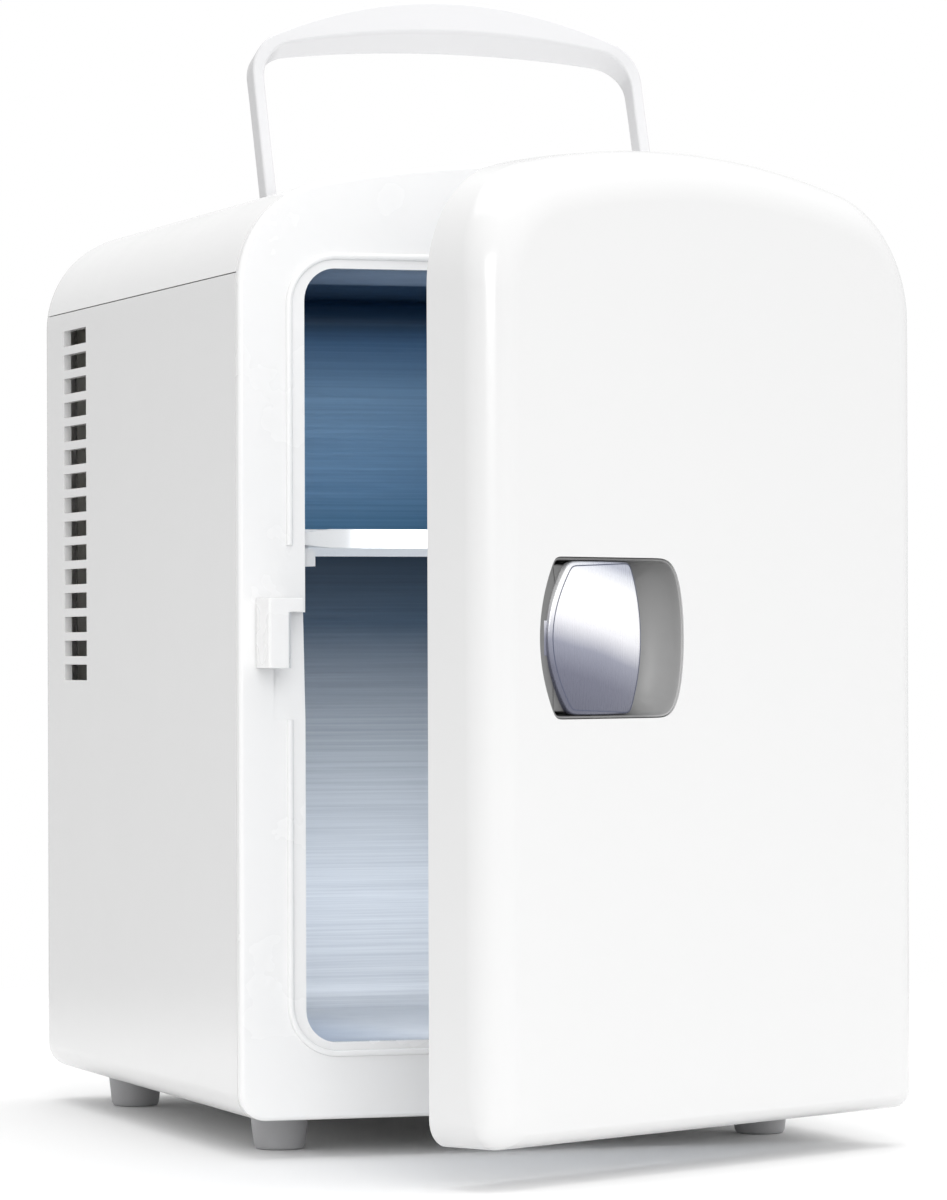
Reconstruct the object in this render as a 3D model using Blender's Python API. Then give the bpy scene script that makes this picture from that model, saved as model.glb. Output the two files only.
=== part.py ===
"""Compact thermoelectric mini fridge: cabinet, hinged door with a pull latch, bail handle.

Units are metres in the finished meshes. The dimensions below are in millimetres and are
turned into metres where each mesh is made. +Z is up, the door faces -Y, X runs left to right.
The fridge stands on its feet at z = 0. While it is built, x = 0 is the middle of the cabinet
and y = 0 is the front face of the cabinet's front frame. The last step moves the whole
assembly so that the centre of its footprint, door ajar, is on the origin.
"""

import math

import bmesh
import bpy
from mathutils import Matrix, Vector

for old in list(bpy.data.objects):
    bpy.data.objects.remove(old, do_unlink=True)

# ---------------------------------------------------------------- driving dimensions, mm
MM = 0.001
WIDTH = 176.0
HALF = WIDTH / 2
DEPTH = 218.0
HEIGHT = 251.0            # cabinet underside to the crown of the arched top
FOOT_HEIGHT = 10.0
WALL = 2.2                # outer shells
GAP = 0.3                 # between pieces that seat on one another
TOP_RADIUS = 350.0        # shallow arch of the top
TOP_CORNER = 28.0
BOTTOM_CORNER = 7.0
REAR_ROUND = 14.0
PARTING = HEIGHT - 30.0   # underside to the seam between lower shell and top cover
FRAME_RIM = 3.3           # visible edge of the front frame
FRAME_EDGE = 1.2          # its softened front edge
FRAME_FLANGE = 9.0        # how far the frame reaches into the shells

OPENING_HALF = HALF - 17.8
OPENING_LOW = 20.1
OPENING_HIGH = HEIGHT - 28.8
OPENING_CORNER = 8.5
CAVITY_DEPTH = DEPTH - 81.0   # room for the cooling unit stays behind the lining
LINER = 1.0
FOAM_DEPTH = CAVITY_DEPTH + 13.0
BEAD_HALF = OPENING_HALF + 4.25
BEAD_CORNER = 13.0
BEAD_WIDTH = 1.7
BEAD_PROUD = 1.0

SHELF_TOP = 154.2
SHELF_THICK = 5.0
SHELF_DEPTH = CAVITY_DEPTH - 10.0
RAIL = 4.4

VENT_COUNT = 15
VENT_HIGH = PARTING - 5.4
VENT_LOW = VENT_HIGH - 101.5
VENT_SLOT = 4.5
VENT_FROM = DEPTH - 58.6
VENT_TO = DEPTH - 32.8

FOOT_TOP_R = 7.75
FOOT_TIP_R = 6.85
FOOT_X = HALF - 19.5
FOOT_FRONT = 31.0
FOOT_REAR = DEPTH - 38.0

DOOR_GAP = 1.0            # back of the door to the front frame
DOOR_THICK = 21.2
DOOR_TOP = HEIGHT - 1.4
DOOR_TOP_RADIUS = 315.0
DOOR_TOP_CORNER = 32.0
DOOR_WALL = 2.4
DOOR_SIDE_ROUND = DOOR_THICK - 11.8   # front edge rounding at the sides, the top and the bottom
DOOR_TOP_ROUND = DOOR_THICK - 7.8
DOOR_BOTTOM_ROUND = 4.0
DOOR_OPEN = 30.8          # degrees, as it stands ajar
DOOR_HEEL = 1.5           # bevel of the hinge-side rear edge, clear of the frame as the door swings
HINGE_X = HALF - 3.8
HINGE_Y = -4.8
HINGE_PIN_R = 1.5
HINGE_RUN = 0.1           # running clearance round a pin
HINGE_LUG_R = HINGE_PIN_R + 2.5
HINGE_LUG_HEIGHT = 10.0
HINGE_LUGS = (28.0, HEIGHT - 39.0)

LATCH_Z = 125.3
CATCH_Z = (LATCH_Z - 7.4, LATCH_Z + 10.7)
CATCH_X = (-HALF + 4.4, -HALF + 9.2)
CATCH_PROUD = 12.3
CATCH_BARB = 1.5
BEAD_GAP = (CATCH_Z[0] - 13.5, CATCH_Z[1] + 13.9)  # the bead stops here, beside the catch
CUP_LEFT = (-HALF + 23.7, -HALF + 17.6)   # x at the recess's corners and at the middle of its side
CUP_RIGHT = (-HALF + 62.6, -HALF + 74.2)
CUP_HALF = 20.1
CUP_DEPTH = 13.0
LEVER_LEFT = (-HALF + 30.5, -HALF + 23.0)
LEVER_RIGHT = (-HALF + 54.5, -HALF + 59.3)
LEVER_HALF = CUP_HALF - 1.0
LEVER_THICK = 2.4
LEVER_CROWN = 2.2
LATCH_AXIS_X = -HALF + 22.0
LATCH_PIN_R = 1.0
LATCH_THROW = 20.0

HANDLE_AXIS_Y = 80.0
HANDLE_AXIS_Z = HEIGHT - 10.5
HANDLE_HALF = HALF - 30.6  # to the outside of a leg
HANDLE_LEG = 3.2
HANDLE_CROWN = 66.0       # axis to the top of the grip
HANDLE_ARCH = HANDLE_HALF * 120.0 / 57.4   # radius of the grip's upper edge, then of its lower edge
HANDLE_UNDER = HANDLE_HALF * 300.0 / 57.4
HANDLE_GRIP = 10.0        # thickness at the middle of the grip
HANDLE_CORNER = 12.0      # outer corner radius, then the inner one
HANDLE_INNER = 10.5
HANDLE_LEAN = 20.0        # degrees back from upright, as it stands
HANDLE_LEG_DEEP = 6.6
HANDLE_GRIP_DEEP = 14.5
TRUNNION_R = 1.8
TRUNNION_REACH = 3.4      # beyond each side of a leg
WELL = (6.4, 9.0, 30.0, 10.0)   # width, ahead of the axis, behind it, below it

FAN_SIZE = 80.0
FAN_THICK = 15.0
FAN_Z = HEIGHT - 86.0
FAN_Y = DEPTH - 31.5
BLADES = 7

FRONT_DOOR = -(DOOR_GAP + DOOR_THICK)
BASE = FOOT_HEIGHT

# ---------------------------------------------------------------- scene set-up
fridge = bpy.data.collections.new("mini_fridge")
cutters = bpy.data.collections.new("cutters")
for made in (fridge, cutters):
    bpy.context.scene.collection.children.link(made)


def material(name, colour, roughness, metallic=0.0):
    made = bpy.data.materials.new(name)
    made.use_nodes = True
    shader = made.node_tree.nodes["Principled BSDF"]
    shader.inputs["Base Color"].default_value = (*colour, 1.0)
    shader.inputs["Roughness"].default_value = roughness
    shader.inputs["Metallic"].default_value = metallic
    return made


WHITE = material("gloss_white", (0.86, 0.87, 0.88), 0.25)
WHITE_INNER = material("inner_white", (0.82, 0.83, 0.84), 0.4)
GREY = material("cup_grey", (0.52, 0.53, 0.54), 0.35)
FOOT = material("foot_grey", (0.35, 0.36, 0.37), 0.55)
SATIN = material("satin_silver", (0.62, 0.63, 0.66), 0.28, 0.9)
ALLOY = material("brushed_aluminium", (0.55, 0.58, 0.62), 0.35, 1.0)
STEEL = material("zinc_steel", (0.6, 0.6, 0.6), 0.35, 1.0)
BRASS = material("contact_brass", (0.75, 0.58, 0.3), 0.35, 1.0)
FOAM = material("insulation", (0.85, 0.8, 0.66), 0.9)
BLACK = material("black_plastic", (0.03, 0.03, 0.03), 0.45)
SEAL = material("seal_rubber", (0.7, 0.71, 0.72), 0.7)
CERAMIC = material("module_ceramic", (0.88, 0.88, 0.85), 0.6)
BOARD = material("board_green", (0.05, 0.25, 0.1), 0.5)

# ---------------------------------------------------------------- mesh helpers


def place(name, mesh, finish, cutter=False):
    """An object from a bmesh in millimetres, with its normals facing out and its faces flat."""
    bmesh.ops.connect_verts_nonplanar(mesh, angle_limit=0.0005, faces=mesh.faces)
    bmesh.ops.recalc_face_normals(mesh, faces=mesh.faces)
    if mesh.calc_volume(signed=True) < 0:
        bmesh.ops.reverse_faces(mesh, faces=mesh.faces)
    bmesh.ops.scale(mesh, vec=(MM, MM, MM), verts=mesh.verts)
    data = bpy.data.meshes.new(name)
    mesh.to_mesh(data)
    mesh.free()
    made = bpy.data.objects.new(name, data)
    if cutter:
        cutters.objects.link(made)
        made.hide_render = True
        made.display_type = "WIRE"
    else:
        fridge.objects.link(made)
        data.materials.append(finish)
        data.shade_smooth()
        data.set_sharp_from_angle(angle=math.radians(32))
    return made


def add_loft(mesh, rings, around=False):
    """Skins rings of equal length. around joins the last ring to the first, else both are capped."""
    rows = [[mesh.verts.new(point) for point in ring] for ring in rings]
    count = len(rows[0])
    pairs = list(zip(rows, rows[1:]))
    if around:
        pairs.append((rows[-1], rows[0]))
    for first, second in pairs:
        for i in range(count):
            j = (i + 1) % count
            mesh.faces.new((first[i], first[j], second[j], second[i]))
    if not around:
        mesh.faces.new(list(reversed(rows[0])))
        mesh.faces.new(rows[-1])


def loft(name, rings, finish, around=False, cutter=False):
    mesh = bmesh.new()
    add_loft(mesh, rings, around)
    return place(name, mesh, finish, cutter)


def add_box(mesh, low, high, matrix=None):
    size = Vector(high) - Vector(low)
    middle = Matrix.Translation((Vector(high) + Vector(low)) / 2) @ Matrix.Diagonal((*size, 1.0))
    bmesh.ops.create_cube(mesh, size=1.0, matrix=middle if matrix is None else matrix @ middle)


def boxes(name, corners, finish=None, cutter=False):
    mesh = bmesh.new()
    for low, high in corners:
        add_box(mesh, low, high)
    return place(name, mesh, finish, cutter)


def add_turned(mesh, axis, centre, profile, count=24):
    """Spins a profile of (radius, distance along the axis) pairs about an axis letter."""
    along = Vector({"x": (1, 0, 0), "y": (0, 1, 0), "z": (0, 0, 1)}[axis])
    middle = Vector({"x": (0, *centre), "y": (centre[0], 0, centre[1]), "z": (*centre, 0)}[axis])
    out = Vector((0, 1, 0)) if axis == "x" else Vector((1, 0, 0))
    points = [mesh.verts.new(middle + out * radius + along * distance) for radius, distance in profile]
    edges = [mesh.edges.new(pair) for pair in zip(points, points[1:])]
    bmesh.ops.spin(mesh, geom=points + edges, cent=middle, axis=along, angle=2 * math.pi, steps=count,
                   use_merge=True)
    bmesh.ops.holes_fill(mesh, edges=[edge for edge in mesh.edges if edge.is_boundary])


def turned(name, axis, centre, profile, finish=None, count=24, cutter=False):
    mesh = bmesh.new()
    add_turned(mesh, axis, centre, profile, count)
    return place(name, mesh, finish, cutter)


def drill(name, axis, spots, radius, span, count=20):
    """One cutter holding a cylinder at each spot."""
    mesh = bmesh.new()
    for spot in spots:
        add_turned(mesh, axis, spot, [(radius, span[0]), (radius, span[1])], count)
    return place(name, mesh, None, cutter=True)


def combine(target, tool, operation="DIFFERENCE", crossing=False):
    """A Boolean step. crossing is for a tool whose own pieces run into one another."""
    step = target.modifiers.new(f"{operation.lower()}_{tool.name}", "BOOLEAN")
    step.operation = operation
    step.solver = "EXACT"
    step.use_self = crossing
    step.object = tool


def arc(cx, cz, radius, start, stop, count):
    points = []
    for i in range(count + 1):
        angle = math.radians(start + (stop - start) * i / count)
        points.append((cx + radius * math.cos(angle), cz + radius * math.sin(angle)))
    return points


def arched(inset, half=HALF, low=0.0, high=HEIGHT, radius=TOP_RADIUS, corner=TOP_CORNER,
           foot=BOTTOM_CORNER, detail=(10, 7, 4), stations=()):
    """Outline (x, z) of a box with an arched top, moved inwards by inset.

    stations are extra heights at which the straight sides get a point.
    """
    half, low, high, radius = half - inset, low + inset, high - inset, radius - inset
    corner = max(corner - inset, 1.0)
    foot = max(foot - inset, 1.0)
    side = half - corner
    middle = high - radius + math.sqrt((radius - corner) ** 2 - side**2)
    lean = math.degrees(math.asin(side / (radius - corner)))
    across, turn, low_turn = detail
    points = arc(half - foot, low + foot, foot, -90, 0, low_turn)
    points += [(half, z) for z in stations]
    points += arc(side, middle, corner, 0, 90 - lean, turn)
    points += arc(0, high - radius, radius, 90 - lean, 90 + lean, across)[1:-1]
    points += arc(-side, middle, corner, 90 + lean, 180, turn)
    points += [(-half, z) for z in reversed(stations)]
    points += arc(-half + foot, low + foot, foot, 180, 270, low_turn)
    return [(x, BASE + z) for x, z in points]


def rounded(half, low, high, corner, steps=5):
    """Outline (x, z) of a rectangle with round corners, centred on x = 0."""
    points = arc(half - corner, low + corner, corner, -90, 0, steps)
    points += arc(half - corner, high - corner, corner, 0, 90, steps)
    points += arc(-half + corner, high - corner, corner, 90, 180, steps)
    points += arc(-half + corner, low + corner, corner, 180, 270, steps)
    return [(x, BASE + z) for x, z in points]


def at(outline, y):
    return [(x, y, z) for x, z in outline]


def pivot(name, at_point):
    """An empty on the axis that a moving piece turns or slides on."""
    made = bpy.data.objects.new(name, None)
    fridge.objects.link(made)
    made.location = Vector(at_point) * MM
    return made


def hang(made, axis, at_point):
    """Parents a piece to a pivot, with the piece's origin on the pivot's axis."""
    made.data.transform(Matrix.Translation(-Vector(at_point) * MM))
    made.parent = axis


# ---------------------------------------------------------------- outer shells
ROUND_STEPS = 4


def shell_profile(front, back, rounding, wall):
    """(inset, y) pairs round the section of a shell whose rear edge turns inwards."""
    pairs = [(0.0, front)]
    for i in range(ROUND_STEPS + 1):
        angle = math.pi / 2 * i / ROUND_STEPS
        pairs.append((rounding * (1 - math.cos(angle)), back - rounding + rounding * math.sin(angle)))
    inner = rounding - wall
    for i in range(ROUND_STEPS, -1, -1):
        angle = math.pi / 2 * i / ROUND_STEPS
        pairs.append((rounding - inner * math.cos(angle), back - rounding + inner * math.sin(angle)))
    pairs.append((wall, front))
    return pairs


def shell_half(name, low, high):
    front = FRAME_RIM + GAP
    rings = [at(arched(inset), y) for inset, y in shell_profile(front, DEPTH, REAR_ROUND, WALL)]
    made = loft(name, rings, WHITE, around=True)
    keep = boxes(f"{name}_extent", [((-HALF - 5, -5, BASE + low), (HALF + 5, DEPTH + 5, BASE + high))],
                 cutter=True)
    combine(made, keep, "INTERSECT")
    return made


lower_shell = shell_half("lower_shell", -5, PARTING - GAP / 2)
top_cover = shell_half("top_cover", PARTING + GAP / 2, HEIGHT + 5)

pitch = (VENT_HIGH - VENT_LOW - VENT_SLOT) / (VENT_COUNT - 1)
slots = []
for side in (-1, 1):
    for i in range(VENT_COUNT):
        z = BASE + VENT_LOW + i * pitch
        x0, x1 = sorted((side * (HALF - WALL - 1), side * (HALF + 1)))
        slots.append(((x0, VENT_FROM, z), (x1, VENT_TO, z + VENT_SLOT)))
combine(lower_shell, boxes("side_vents", slots, cutter=True))

foot_spots = [(side * FOOT_X, y) for y in (FOOT_FRONT, FOOT_REAR) for side in (-1, 1)]
SPIGOT_R = 3.0
combine(lower_shell, drill("foot_holes", "z", foot_spots, SPIGOT_R + GAP, (BASE - 2, BASE + WALL + 2)))

foot_names = ("foot_front_left", "foot_front_right", "foot_rear_left", "foot_rear_right")
for name, spot in zip(foot_names, foot_spots):
    profile = [(FOOT_TIP_R - 0.8, 0.0), (FOOT_TIP_R, 0.8), (FOOT_TOP_R, BASE - GAP),
               (SPIGOT_R, BASE - GAP), (SPIGOT_R, BASE + WALL + 1.0)]
    turned(name, "z", spot, profile, FOOT, 28)

# ---------------------------------------------------------------- front frame
frame_rings = [at(arched(inset), y) for inset, y in (
    (FRAME_EDGE, 0.0), (FRAME_EDGE * 0.3, FRAME_EDGE * 0.3), (0.0, FRAME_EDGE), (0.0, FRAME_RIM),
    (WALL + 0.5, FRAME_RIM), (WALL + 0.5, FRAME_FLANGE))]
front_frame = loft("front_frame", frame_rings, WHITE)
FLANGE_WALL = 1.9
pocket_inset = WALL + 0.5 + FLANGE_WALL
combine(front_frame, loft("frame_pocket", [at(arched(pocket_inset), y) for y in (3.0, FRAME_FLANGE + 2)],
                          None, cutter=True))


def opening(grow=0.0):
    return rounded(OPENING_HALF + grow, OPENING_LOW - grow, OPENING_HIGH + grow, OPENING_CORNER + grow)


combine(front_frame, loft("frame_opening", [at(opening(), y) for y in (-3.0, 6.0)], None, cutter=True))


def swept(path, section):
    """Rings of section (outwards, y) pairs carried along an open path of (x, z) points."""
    rings = []
    for i, here in enumerate(path):
        before, after = path[max(i - 1, 0)], path[min(i + 1, len(path) - 1)]
        run = Vector((after[0] - before[0], after[1] - before[1])).normalized()
        out = Vector((run.y, -run.x))
        rings.append([(here[0] + out.x * w, y, here[1] + out.y * w) for w, y in section])
    return rings


def broken_ring(half, low, high, corner, low_stop, high_stop):
    """A rounded rectangle as an open path, with a break in its left side."""
    points = [(x, z) for x, z in arc(-half + corner, low + corner, corner, 180, 270, 6)]
    points += arc(half - corner, low + corner, corner, -90, 0, 6)
    points += arc(half - corner, high - corner, corner, 0, 90, 6)
    points += arc(-half + corner, high - corner, corner, 90, 180, 6)
    points = [(-half, low_stop)] + points + [(-half, high_stop)]
    return [(x, BASE + z) for x, z in points]


half_bead = BEAD_WIDTH / 2
bead_section = [(-half_bead, 0.6), (-half_bead, -0.4), (-half_bead * 0.55, -BEAD_PROUD),
                (half_bead * 0.55, -BEAD_PROUD), (half_bead, -0.4), (half_bead, 0.6)]
bead_path = broken_ring(BEAD_HALF, OPENING_LOW - 2.9, OPENING_HIGH + 3.2, BEAD_CORNER, *BEAD_GAP)
bead = loft("frame_bead", swept(bead_path, bead_section), None, cutter=True)
combine(front_frame, bead, "UNION")

recess = bmesh.new()
notch_low, notch_high = BASE + BEAD_GAP[0], BASE + CATCH_Z[1] - 3.6
add_loft(recess, [
    [(x, -0.5, notch_low), (x, 0.02, notch_low), (x, 2.0, notch_high), (x, -0.5, notch_high)]
    for x in (CATCH_X[1], -OPENING_HALF + 1.0)])
combine(front_frame, place("frame_notch", recess, None, cutter=True))
TAB = ((CATCH_X[0] + 1.0, CATCH_X[1] - 1.0), (CATCH_Z[0] + 3.6, CATCH_Z[1] - 4.0))
combine(front_frame, boxes("catch_slot", [(
    (TAB[0][0] - GAP, -1.0, BASE + TAB[1][0] - GAP), (TAB[0][1] + GAP, 5.0, BASE + TAB[1][1] + GAP))],
    cutter=True))

# ---------------------------------------------------------------- catch on the frame
barb = CATCH_X[1] + CATCH_BARB
catch_plan = [(CATCH_X[0], -GAP), (CATCH_X[0], -CATCH_PROUD + 0.6), (CATCH_X[0] + 0.6, -CATCH_PROUD),
              (barb - 1.0, -CATCH_PROUD), (barb, -CATCH_PROUD + 1.2), (barb, -CATCH_PROUD + 2.8),
              (CATCH_X[1], -CATCH_PROUD + 2.8), (CATCH_X[1], -GAP)]
latch_catch = loft("latch_catch", [[(x, y, BASE + z) for x, y in catch_plan] for z in CATCH_Z], WHITE)
catch_top = boxes("catch_roof", [
    ((CATCH_X[1] - 1.0, -CATCH_PROUD, BASE + CATCH_Z[1] - 3.6), (CATCH_X[1] + 4.4, -GAP, BASE + CATCH_Z[1])),
    ((TAB[0][0], -1.0, BASE + TAB[1][0]), (TAB[0][1], 3.6, BASE + TAB[1][1]))], cutter=True)
combine(latch_catch, catch_top, "UNION")

# ---------------------------------------------------------------- lining, insulation and shelf
TUB_ROUND = 7.0


def tub_rings(grow, front, back, rounding):
    rings = [at(opening(grow), front)]
    for i in range(4):
        angle = math.pi / 2 * i / 3
        inset = rounding * (1 - math.cos(angle))
        outline = rounded(OPENING_HALF + grow - inset, OPENING_LOW - grow + inset,
                          OPENING_HIGH + grow - inset, max(OPENING_CORNER + grow - inset, 1.0))
        rings.append(at(outline, back - rounding + rounding * math.sin(angle)))
    return rings


LINER_FRONT = FRAME_RIM
inner = tub_rings(0.0, LINER_FRONT, CAVITY_DEPTH - LINER, TUB_ROUND)
outer = tub_rings(LINER, LINER_FRONT + LINER, CAVITY_DEPTH, TUB_ROUND + LINER)
flange = [at(opening(4.5), y) for y in (LINER_FRONT, LINER_FRONT + LINER)]
loft("inner_liner", inner[::-1] + flange + outer, ALLOY)

FOAM_FRONT = LINER_FRONT + LINER + GAP
foam = loft("cabinet_foam", [at(arched(pocket_inset + GAP), y) for y in (FOAM_FRONT, FOAM_DEPTH)], FOAM)
tub = tub_rings(LINER + GAP, FOAM_FRONT - 2, CAVITY_DEPTH + GAP, TUB_ROUND + LINER)
combine(foam, loft("foam_hollow", tub, None, cutter=True))
MODULE_HALF = 20.0
combine(foam, boxes("module_window", [(
    (-MODULE_HALF - 1, CAVITY_DEPTH - 3, BASE + FAN_Z - MODULE_HALF - 1),
    (MODULE_HALF + 1, FOAM_DEPTH + 3, BASE + FAN_Z + MODULE_HALF + 1))], cutter=True))

RAIL_HIGH = SHELF_TOP - SHELF_THICK - GAP
for name, side in (("shelf_rail_left", -1), ("shelf_rail_right", 1)):
    x0, x1 = sorted((side * (OPENING_HALF - GAP), side * (OPENING_HALF - GAP - RAIL)))
    boxes(name, [((x0, LINER_FRONT + 3, BASE + RAIL_HIGH - RAIL), (x1, SHELF_DEPTH, BASE + RAIL_HIGH))],
          WHITE_INNER)

shelf_low = BASE + SHELF_TOP - SHELF_THICK
shelf = boxes("shelf", [((-OPENING_HALF + 0.8, LINER_FRONT + 0.6, shelf_low),
                         (OPENING_HALF - 0.8, SHELF_DEPTH, BASE + SHELF_TOP))], WHITE_INNER)
hollow = [((-OPENING_HALF + 3.2, LINER_FRONT + 3.0, shelf_low - 1),
           (OPENING_HALF - 3.2, SHELF_DEPTH - 2.4, shelf_low + SHELF_THICK - 2.4))]
combine(shelf, boxes("shelf_underside", hollow, cutter=True))
shelf_slots = []
for row in range(4):
    for column in range(5):
        x = (column - 2) * (OPENING_HALF - 20.2) / 2
        y = 26.0 + row * (SHELF_DEPTH - 46.0) / 3
        shelf_slots.append(((x - 8, y - 2.2, shelf_low - 2), (x + 8, y + 2.2, shelf_low + 8)))
combine(shelf, boxes("shelf_slots", shelf_slots, cutter=True))

# ---------------------------------------------------------------- cooling unit behind the lining
axis_z = BASE + FAN_Z
module_y = FOAM_DEPTH + 0.6
boxes("cold_block", [((-MODULE_HALF, CAVITY_DEPTH + GAP, axis_z - MODULE_HALF),
                      (MODULE_HALF, module_y, axis_z + MODULE_HALF))], ALLOY)
boxes("cooling_module", [((-MODULE_HALF, module_y + GAP, axis_z - MODULE_HALF),
                          (MODULE_HALF, module_y + GAP + 3.6, axis_z + MODULE_HALF))], CERAMIC)
sink_y = module_y + 2 * GAP + 3.6
SINK_HALF = (46.0, 50.0)
FINS = 15
FIN = 1.6
heat_sink = boxes("heat_sink", [((-SINK_HALF[0], sink_y, axis_z - SINK_HALF[1]),
                                 (SINK_HALF[0], FAN_Y - 2.0, axis_z + SINK_HALF[1]))], ALLOY)
space = (2 * SINK_HALF[1] - FINS * FIN) / (FINS - 1)
channels = []
for i in range(FINS - 1):
    z = axis_z - SINK_HALF[1] + FIN + i * (FIN + space)
    channels.append(((-SINK_HALF[0] - 1, sink_y + 4.5, z), (SINK_HALF[0] + 1, FAN_Y, z + space)))
combine(heat_sink, boxes("sink_channels", channels, cutter=True))

FAN_BORE = 37.5
HUB_R = 15.0
fan_frame = loft("fan_frame", [at(rounded(FAN_SIZE / 2, FAN_Z - FAN_SIZE / 2, FAN_Z + FAN_SIZE / 2, 4.0), y)
                               for y in (FAN_Y, FAN_Y + FAN_THICK)], BLACK)
combine(fan_frame, drill("fan_bore", "y", [(0, axis_z)], FAN_BORE, (FAN_Y - 1, FAN_Y + FAN_THICK + 1), 40))
spider = bmesh.new()
add_turned(spider, "y", (0, axis_z), [(HUB_R, FAN_Y + FAN_THICK - 2.4), (HUB_R, FAN_Y + FAN_THICK)], 28)
add_turned(spider, "y", (0, axis_z), [(2.0, FAN_Y + 3.0), (2.0, FAN_Y + FAN_THICK - 1)], 16)
for turn in range(4):
    arm = Matrix.Translation((0, 0, axis_z)) @ Matrix.Rotation(math.radians(45 + 90 * turn), 4, "Y")
    add_box(spider, (-2.5, FAN_Y + FAN_THICK - 2.2, HUB_R - 3),
            (2.5, FAN_Y + FAN_THICK - 0.2, FAN_BORE + 2), arm)
combine(fan_frame, place("fan_spider", spider, None, cutter=True), "UNION", crossing=True)
fan_holes = [(sx * 35.5, axis_z + sz * 35.5) for sx in (-1, 1) for sz in (-1, 1)]
combine(fan_frame, drill("fan_screw_holes", "y", fan_holes, 2.2, (FAN_Y - 1, FAN_Y + FAN_THICK + 1), 16))

rotor = bmesh.new()
for turn in range(BLADES):
    spin = Matrix.Rotation(2 * math.pi * turn / BLADES, 4, "Y")
    rings = []
    for radius, twist, chord in ((HUB_R - 1.5, 44, 12.0), (24.0, 36, 14.5), (FAN_BORE - 1.3, 27, 16.5)):
        lean = math.radians(twist)
        ring = []
        for u, v in ((-0.5, -0.6), (0.5, -0.6), (0.5, 0.6), (-0.5, 0.6)):
            x = u * chord * math.cos(lean) - v * math.sin(lean)
            y = u * chord * math.sin(lean) + v * math.cos(lean)
            ring.append(tuple(spin @ Vector((x, y, math.sqrt(radius**2 - x**2)))))
        rings.append([(x, y + FAN_Y + 6.2, z + axis_z) for x, y, z in ring])
    add_loft(rotor, rings)
blades = place("fan_blades", rotor, None, cutter=True)
fan_rotor = turned("fan_rotor", "y", (0, axis_z), [
    (HUB_R - 1.5, FAN_Y + 0.6), (HUB_R, FAN_Y + 2.0), (HUB_R, FAN_Y + FAN_THICK - 3.0),
    (2.0 + GAP, FAN_Y + FAN_THICK - 3.0), (2.0 + GAP, FAN_Y + 2.6)], BLACK, 28)
combine(fan_rotor, blades, "UNION")
fan_centre = (0, FAN_Y, axis_z)
fan_axis = pivot("fan_axis", fan_centre)
hang(fan_rotor, fan_axis, fan_centre)
hang(blades, fan_axis, fan_centre)

board_z = BASE + 14.0
board_y = DEPTH - 60.0
power_board = boxes("power_board", [((-42, board_y, board_z), (42, board_y + 48, board_z + 1.6))], BOARD)
combine(power_board, boxes("board_parts", [
    ((-38, board_y + 4, board_z + 1), (-24, board_y + 18, board_z + 14)),
    ((4, board_y + 6, board_z + 1), (14, board_y + 42, board_z + 17)),
    ((22, board_y + 10, board_z + 1), (30, board_y + 18, board_z + 20)),
    ((32, board_y + 28, board_z + 1), (39, board_y + 36, board_z + 12))],
    cutter=True), "UNION")
boxes("transformer", [((-20, board_y + 8, board_z + 1.6 + GAP), (0, board_y + 38, board_z + 24))], BLACK)

# ---------------------------------------------------------------- rear cover and its sockets
REAR_INSET = REAR_ROUND + 0.5
rear_cover = loft("rear_cover", [at(arched(inset), y) for inset, y in (
    (11.0, DEPTH - WALL - 3.2), (11.0, DEPTH - WALL - 1.2), (REAR_INSET, DEPTH - WALL - 1.2),
    (REAR_INSET, DEPTH - 0.8))], WHITE)
grille = []
for i in range(-5, 6):
    z = axis_z + i * 6.6
    reach = math.sqrt(38.0**2 - (i * 6.6) ** 2)
    for x0, x1 in ((-reach, -1.6), (1.6, reach)):
        grille.append(((x0, DEPTH - 7, z - 1.9), (x1, DEPTH + 1, z + 1.9)))
combine(rear_cover, boxes("rear_grille", grille, cutter=True))
SOCKET_Z = BASE + 46.0
AC_X, SWITCH_X, DC_X = -42.0, 0.0, 42.0
AC_HALF = (12.0, 7.0)
combine(rear_cover, boxes("socket_windows", [
    ((AC_X - AC_HALF[0] - GAP, DEPTH - 8, SOCKET_Z - AC_HALF[1] - GAP),
     (AC_X + AC_HALF[0] + GAP, DEPTH + 2, SOCKET_Z + AC_HALF[1] + GAP)),
    ((SWITCH_X - 11 - GAP, DEPTH - 8, SOCKET_Z - 5 - GAP), (SWITCH_X + 11 + GAP, DEPTH + 2, SOCKET_Z + 5 + GAP)),
], cutter=True))
combine(rear_cover, drill("dc_window", "y", [(DC_X, SOCKET_Z)], 8.0 + GAP, (DEPTH - 8, DEPTH + 2), 28))

REAR_FACE = DEPTH - 0.8
ac_inlet = boxes("ac_inlet", [((AC_X - AC_HALF[0], DEPTH - 20, SOCKET_Z - AC_HALF[1]),
                               (AC_X + AC_HALF[0], REAR_FACE, SOCKET_Z + AC_HALF[1]))], BLACK)
combine(ac_inlet, drill("ac_sockets", "y", [(AC_X - 3.8, SOCKET_Z), (AC_X + 3.8, SOCKET_Z)], 4.3,
                        (DEPTH - 15, DEPTH + 2), 20), crossing=True)
for name, x in (("ac_pin_left", AC_X - 4.3), ("ac_pin_right", AC_X + 4.3)):
    turned(name, "y", (x, SOCKET_Z), [(1.2, DEPTH - 15 + GAP), (1.2, DEPTH - 5), (0.7, DEPTH - 4.2)], BRASS, 14)
turned("dc_inlet", "y", (DC_X, SOCKET_Z), [(8.0, DEPTH - 18), (8.0, REAR_FACE), (5.0, REAR_FACE),
                                            (5.0, DEPTH - 14)], BLACK, 28)
turned("dc_pin", "y", (DC_X, SOCKET_Z), [(1.2, DEPTH - 14 + GAP), (1.2, DEPTH - 5), (0.7, DEPTH - 4.2)],
       BRASS, 14)
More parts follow.
